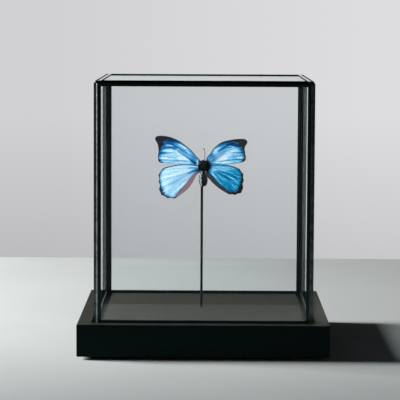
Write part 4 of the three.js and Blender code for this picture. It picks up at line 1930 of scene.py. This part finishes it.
    def build(self) -> None:
        """Makes the body with its eyes and fur."""
        rng = np.random.default_rng(41)
        pile = Pile()
        vertices, faces = self.core()
        pile.add(vertices, faces, 0)
        for side in (-1, 1):
            centre = (side * self.eye_at[0], self.eye_at[1], self.eye_at[2])
            pile.add(*ball(centre, self.eye_size, 28, 18), 3)
        hang = (0, 0, -0.18)
        for growth, radius, droop, finish in (
            (self.fur_on(self.thorax, 3600, (0.7, 1.5), (0, -0.05, -0.35), rng), 0.055, hang, 1),
            (self.fur_on(self.head, 900, (0.4, 0.9), (0, -0.1, 0.1), rng), 0.04, hang, 1),
            (self.fur_on(self.palps, 260, (0.4, 0.8), (0, 0.2, 0.3), rng), 0.035, hang, 1),
            (self.fur_over_roots(1, 700, (0.9, 2.6), rng), 0.05, (0, 0.16, -0.05), 1),
            (self.fur_over_roots(-1, 420, (0.9, 2.0), rng), 0.05, (0, 0.1, -0.05), 1),
            (self.fur_on_abdomen(2600, (0.5, 1.1), (0.0, 1.0), rng), 0.045, hang, 1),
            # Pale setae on both flanks; the left's fuller, thicker tufts are partly painted highlight of the
            # light from the left.
            (self.tufts(26, 12, (0.1, 0.98), (0.61, 0.68), rng), 0.12, hang, 2),
            (self.tufts(12, 5, (0.5, 0.96), (0.86, 0.89), rng), 0.06, hang, 2),
        ):
            pile.add(*strands(growth, radius, droop), finish)
        pile.vertices = [part + (BUTTERFLY_X, 0, 0) for part in pile.vertices]
        finishes = [f.material() for f in (DARK_CUTICLE, DARK_HAIR, PALE_HAIR, COMPOUND_EYE)]
        settle(pile.make("butterfly_body_furred", finishes, 60), Slot.BODY, "butterfly_body")


@dataclass
class Antenna:
    """A thin ringed antenna that ends in a small club."""

    node: str
    points: tuple[Place, ...]
    root_radius: float = 0.34
    neck_radius: float = 0.27
    club_radius: float = 0.48
    rings: int = 34
    ring_depth: float = 0.14

    def build(self) -> None:
        """Makes the antenna along its line."""
        path = spaced(smooth_line(self.points), 4 * self.rings + 1)
        share = np.linspace(0, 1, len(path))
        radii = self.root_radius + (self.neck_radius - self.root_radius) * ease(share, 0.0, 0.6)
        radii += (self.club_radius - self.neck_radius) * ease(share, 0.78, 0.93)
        radii *= 1 - self.ring_depth * np.abs(np.sin(math.pi * self.rings * share)) ** 4
        radii *= np.sqrt(np.clip((1.0001 - share) / 0.05, 0.02, 1))
        pile = Pile()
        pile.add(*tube(path + (BUTTERFLY_X, 0, 0), radii, 12))
        settle(pile.make(self.node + "_ringed", [LIMB_CUTICLE.material()], 50), Slot.LIMB, self.node)


@dataclass
class Leg:
    """A folded leg: thigh, shin with fine spines, and a jointed foot."""

    node: str
    points: tuple[Place, ...]
    seed: int
    radius: float = 0.34
    foot_joints: int = 5
    spines: int = 70
    spine_length: Point = (0.45, 0.85)

    def build(self) -> None:
        """Makes the leg along its line, mirrored for a left one."""
        side = -1 if self.node.endswith("left") else 1
        path = spaced(smooth_line(self.points), 90) * (side, 1, 1)
        share = np.linspace(0, 1, len(path))
        thigh = 1.15 * np.exp(-(((share - 0.16) / 0.2) ** 2))
        shin = 0.8 * np.exp(-(((share - 0.5) / 0.2) ** 2))
        joints = np.abs(np.sin(self.foot_joints * math.pi * (share - 0.7) / 0.3)) ** 6
        foot = 0.52 * ease(share, 0.6, 0.75) * (1 - 0.3 * joints)
        radii = self.radius * np.maximum.reduce([thigh, shin, foot, np.full_like(share, 0.35)])
        pile = Pile()
        pile.add(*tube(path + (BUTTERFLY_X, 0, 0), radii, 12))
        rng = np.random.default_rng(self.seed)
        roots = path[rng.integers(8, 86, size=self.spines)] + (BUTTERFLY_X, 0, 0)
        ways = rng.normal(size=(self.spines, 3)) + (0, 0, -0.9)
        lengths = rng.uniform(*self.spine_length, self.spines)
        pile.add(*strands((roots, ways, lengths), 0.045, (0, 0, -0.2)), 1)
        finishes = [LIMB_CUTICLE.material(), DARK_HAIR.material()]
        settle(pile.make(self.node + "_spined", finishes, 50), Slot.LIMB, self.node)


ANTENNA_PATHS = {
    "antenna_right": (
        (1.4, BODY_Y, 188.9), (1.5, BODY_Y - 0.2, 193), (1.5, BODY_Y - 0.6, 197), (1, BODY_Y - 1, 200.6),
        (-0.4, BODY_Y - 1.2, 202),
    ),
    "antenna_left": (
        (-1, BODY_Y + 2.4, 188), (-1.2, BODY_Y + 6, 188.4), (-1.2, BODY_Y + 10, 188.2),
        (-0.8, BODY_Y + 13, 187), (-0.4, BODY_Y + 14.4, 185.6),
    ),
}
LEG_PATHS = {
    "middle_leg": ((2.6, -1.7, 182.4), (4, 0.6, 181.4), (3.4, 2.6, 177.5), (2.6, 3.4, 173.5)),
    "hind_leg": ((2.8, -1.9, 180), (3.9, 0.2, 178.4), (3, 1.9, 173.4), (2.2, 2.5, 168)),
}


@dataclass
class Butterfly:
    """The whole specimen: body, wings, antennae and the four folded walking legs."""

    wings: tuple[Wing, ...] = (FOREWING_LEFT, FOREWING_RIGHT, HINDWING_LEFT, HINDWING_RIGHT)

    def build(self) -> None:
        """Makes every piece of the specimen."""
        ButterflyBody().build()
        for wing in self.wings:
            wing.build()
        for node, points in ANTENNA_PATHS.items():
            Antenna(node, points).build()
        for pair, (leg, points) in enumerate(LEG_PATHS.items()):
            for turn, side in enumerate(("left", "right")):
                Leg(f"{leg}_{side}", points, seed=7 + 2 * pair + turn).build()


# ---------------------------------------------------------------------------- studio and camera


@dataclass(frozen=True)
class PaleFloor(Finish):
    """A plain pale matt floor."""

    name: str = "pale_floor"

    def paint(self, board: Board) -> None:
        """Sets a light grey with a barely seen drift in tone, and painted shade that deepens towards the
        front.

        Args:
            board: the material's nodes.
        """
        drift = board.noise(board.place(), 3, 3)
        front = board.node("SeparateXYZ", {0: board.place()}).outputs["Y"]
        pale = board.ramp(drift, [(0.3, "ced3d4"), (0.7, "d7dcdd")])
        # Painted shade that darkens the floor towards the front.
        board.set(Base_Color=board.blend(board.span(front, -0.05, -0.47, 0.0, 0.8), pale, tint("949c9e")))
        board.set(Roughness=0.95, Specular_IOR_Level=0.0)


@dataclass
class Lamp:
    """A soft rectangular lamp. It looks at the case's middle unless aim says otherwise."""

    name: str
    at: Place
    size: Point
    watts: float
    colour: Place = (1, 1, 1)
    aim: Place = (0, 0, 0.14)

    def build(self) -> bpy.types.Object:
        """Makes the lamp, unseen by the camera itself.

        Returns:
            The lamp's object.
        """
        light = bpy.data.lights.new(self.name, "AREA")
        light.shape = "RECTANGLE"
        light.size, light.size_y = self.size
        light.energy = self.watts
        light.color = self.colour
        lamp = bpy.data.objects.new(self.name, light)
        lamp.location = self.at
        lamp.rotation_euler = (Vector(self.aim) - lamp.location).to_track_quat("-Z", "Y").to_euler()
        lamp.visible_camera = False
        bpy.context.scene.collection.objects.link(lamp)
        return lamp


@dataclass
class Studio:
    """A pale floor, a light grey surround, a soft lamp from the left and one for the specimen alone.

    The surround is backdrop where it is seen, a little darker low down and on the left. Its reflections
    are bright from the rear and the left and shade elsewhere, and ambient is the share that lights.
    """

    floor_back: float = 0.7
    floor_front: float = -0.47
    floor_half: float = 0.8
    floor_thickness: float = 20.0
    backdrop: Rgba = (0.68, 0.68, 0.695, 1)
    backdrop_low: float = 0.77
    drift: float = 0.065
    shade: Rgba = (0.02, 0.023, 0.025, 1)
    bright: Rgba = (0.66, 0.68, 0.69, 1)
    ambient: float = 0.018

    def build(self) -> None:
        """Makes floor, surround and lamps."""
        self.floor()
        self.surround()
        window = Lamp("window_light", (-2.1, 0.22, 0.84), (0.7, 0.7), 120, (1.0, 0.99, 0.97))
        window.build()
        front = Lamp("specimen_light", (0.5, -2.0, 0.8), (0.6, 0.6), 56, (0.97, 0.99, 1.0), (0, 0, 0.184))
        front.build().light_linking.receiver_collection = self.specimen()

    def specimen(self) -> bpy.types.Collection:
        """Gathers the insect's pieces for the lamp that lights them alone.

        Returns:
            The collection that holds them.
        """
        gathered = bpy.data.collections.new("specimen")
        for piece in bpy.context.scene.objects:
            if piece.get("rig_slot") in (Slot.BODY.value, Slot.WING.value, Slot.LIMB.value):
                gathered.objects.link(piece)
        return gathered

    def floor(self) -> None:
        """Makes the floor, which ends where the pale surface meets the grey."""
        half = self.floor_half
        front, back = self.floor_front, self.floor_back
        corners = [(-half, front), (half, front), (half, back), (-half, back)]
        low = [(x / MM, y / MM, -self.floor_thickness) for x, y in corners]
        high = [(x / MM, y / MM, 0) for x, y in corners]
        pile = Pile()
        pile.add(*skinned(np.array([low, high])))
        pile.make("floor", [PaleFloor().material()])

    def surround(self) -> None:
        """Makes the light grey surround. Its shine and light come from the rear and the left."""
        world = bpy.data.worlds.new("surround")
        bpy.context.scene.world = world
        world.use_nodes = True
        nodes = Nodes(world.node_tree)
        way = nodes.node("SeparateXYZ", {0: nodes.node("TexCoord").outputs["Generated"]}).outputs
        open_rear = nodes.times(nodes.eased(way["Y"], 0.0, 0.55), nodes.eased(way["X"], 0.55, 0.2))
        either = nodes.most(open_rear, nodes.eased(way["X"], -0.35, -0.85))
        path = nodes.node("LightPath").outputs
        level = nodes.span(path["Is Diffuse Ray"], 0.0, 1.0, 1.0, self.ambient)
        shine = nodes.blend(either, self.shade, self.bright)
        lit = nodes.node("Background", {"Color": shine, "Strength": level}).outputs[0]
        lower = nodes.span(way["Z"], -0.05, -0.13, 1.0, self.backdrop_low)
        sideways = nodes.span(way["X"], -0.08, 0.08, 1.0 - self.drift, 1.0 + self.drift)
        tone = nodes.times(lower, sideways)
        seen = nodes.node("Background", {"Color": self.backdrop, "Strength": tone}).outputs[0]
        bounced = nodes.sum(path["Glossy Depth"], path["Diffuse Depth"])
        mixed = nodes.node("MixShader", {0: nodes.span(bounced, 0.0, 1.0), 1: seen, 2: lit})
        nodes.node("OutputWorld", {"Surface": mixed.outputs[0]})


@dataclass
class Viewpoint:
    """The camera, straight in front and a little above, with a long lens."""

    place: Place = (0.0028, -2.0505, 0.3392)
    pitch: float = 5.348
    turn: float = 0.198
    roll: float = 0.274
    lens: float = 178.0
    sensor: float = 36.0

    def build(self) -> None:
        """Makes the camera and the picture's tone settings."""
        data = bpy.data.cameras.new("viewpoint")
        data.lens = self.lens
        data.sensor_width = self.sensor
        data.clip_start = 0.1
        camera = bpy.data.objects.new("viewpoint", data)
        bpy.context.scene.collection.objects.link(camera)
        tilt = Matrix.Rotation(math.radians(90 - self.pitch), 4, "X")
        heading = Matrix.Rotation(math.radians(self.turn), 4, "Z")
        lean = Matrix.Rotation(math.radians(self.roll), 4, "Z")
        camera.matrix_world = Matrix.Translation(self.place) @ heading @ tilt @ lean
        scene = bpy.context.scene
        scene.camera = camera
        scene.view_settings.view_transform = "Standard"
        scene.view_settings.look = "None"
        scene.cycles.use_denoising = True
        scene.cycles.caustics_reflective = False
        scene.cycles.caustics_refractive = False
        scene.cycles.max_bounces = 16
        scene.cycles.transmission_bounces = 16
        scene.cycles.transparent_max_bounces = 24


def main() -> None:
    """Builds the pieces, the studio and the camera."""
    logging.basicConfig(level=logging.INFO, format="%(message)s")
    Plinth().dress()
    FeltPads().build()
    StandRod().build()
    GlazedCase().build()
    Butterfly().build()
    Studio().build()
    Viewpoint().build()


if __name__ == "__main__":
    main()
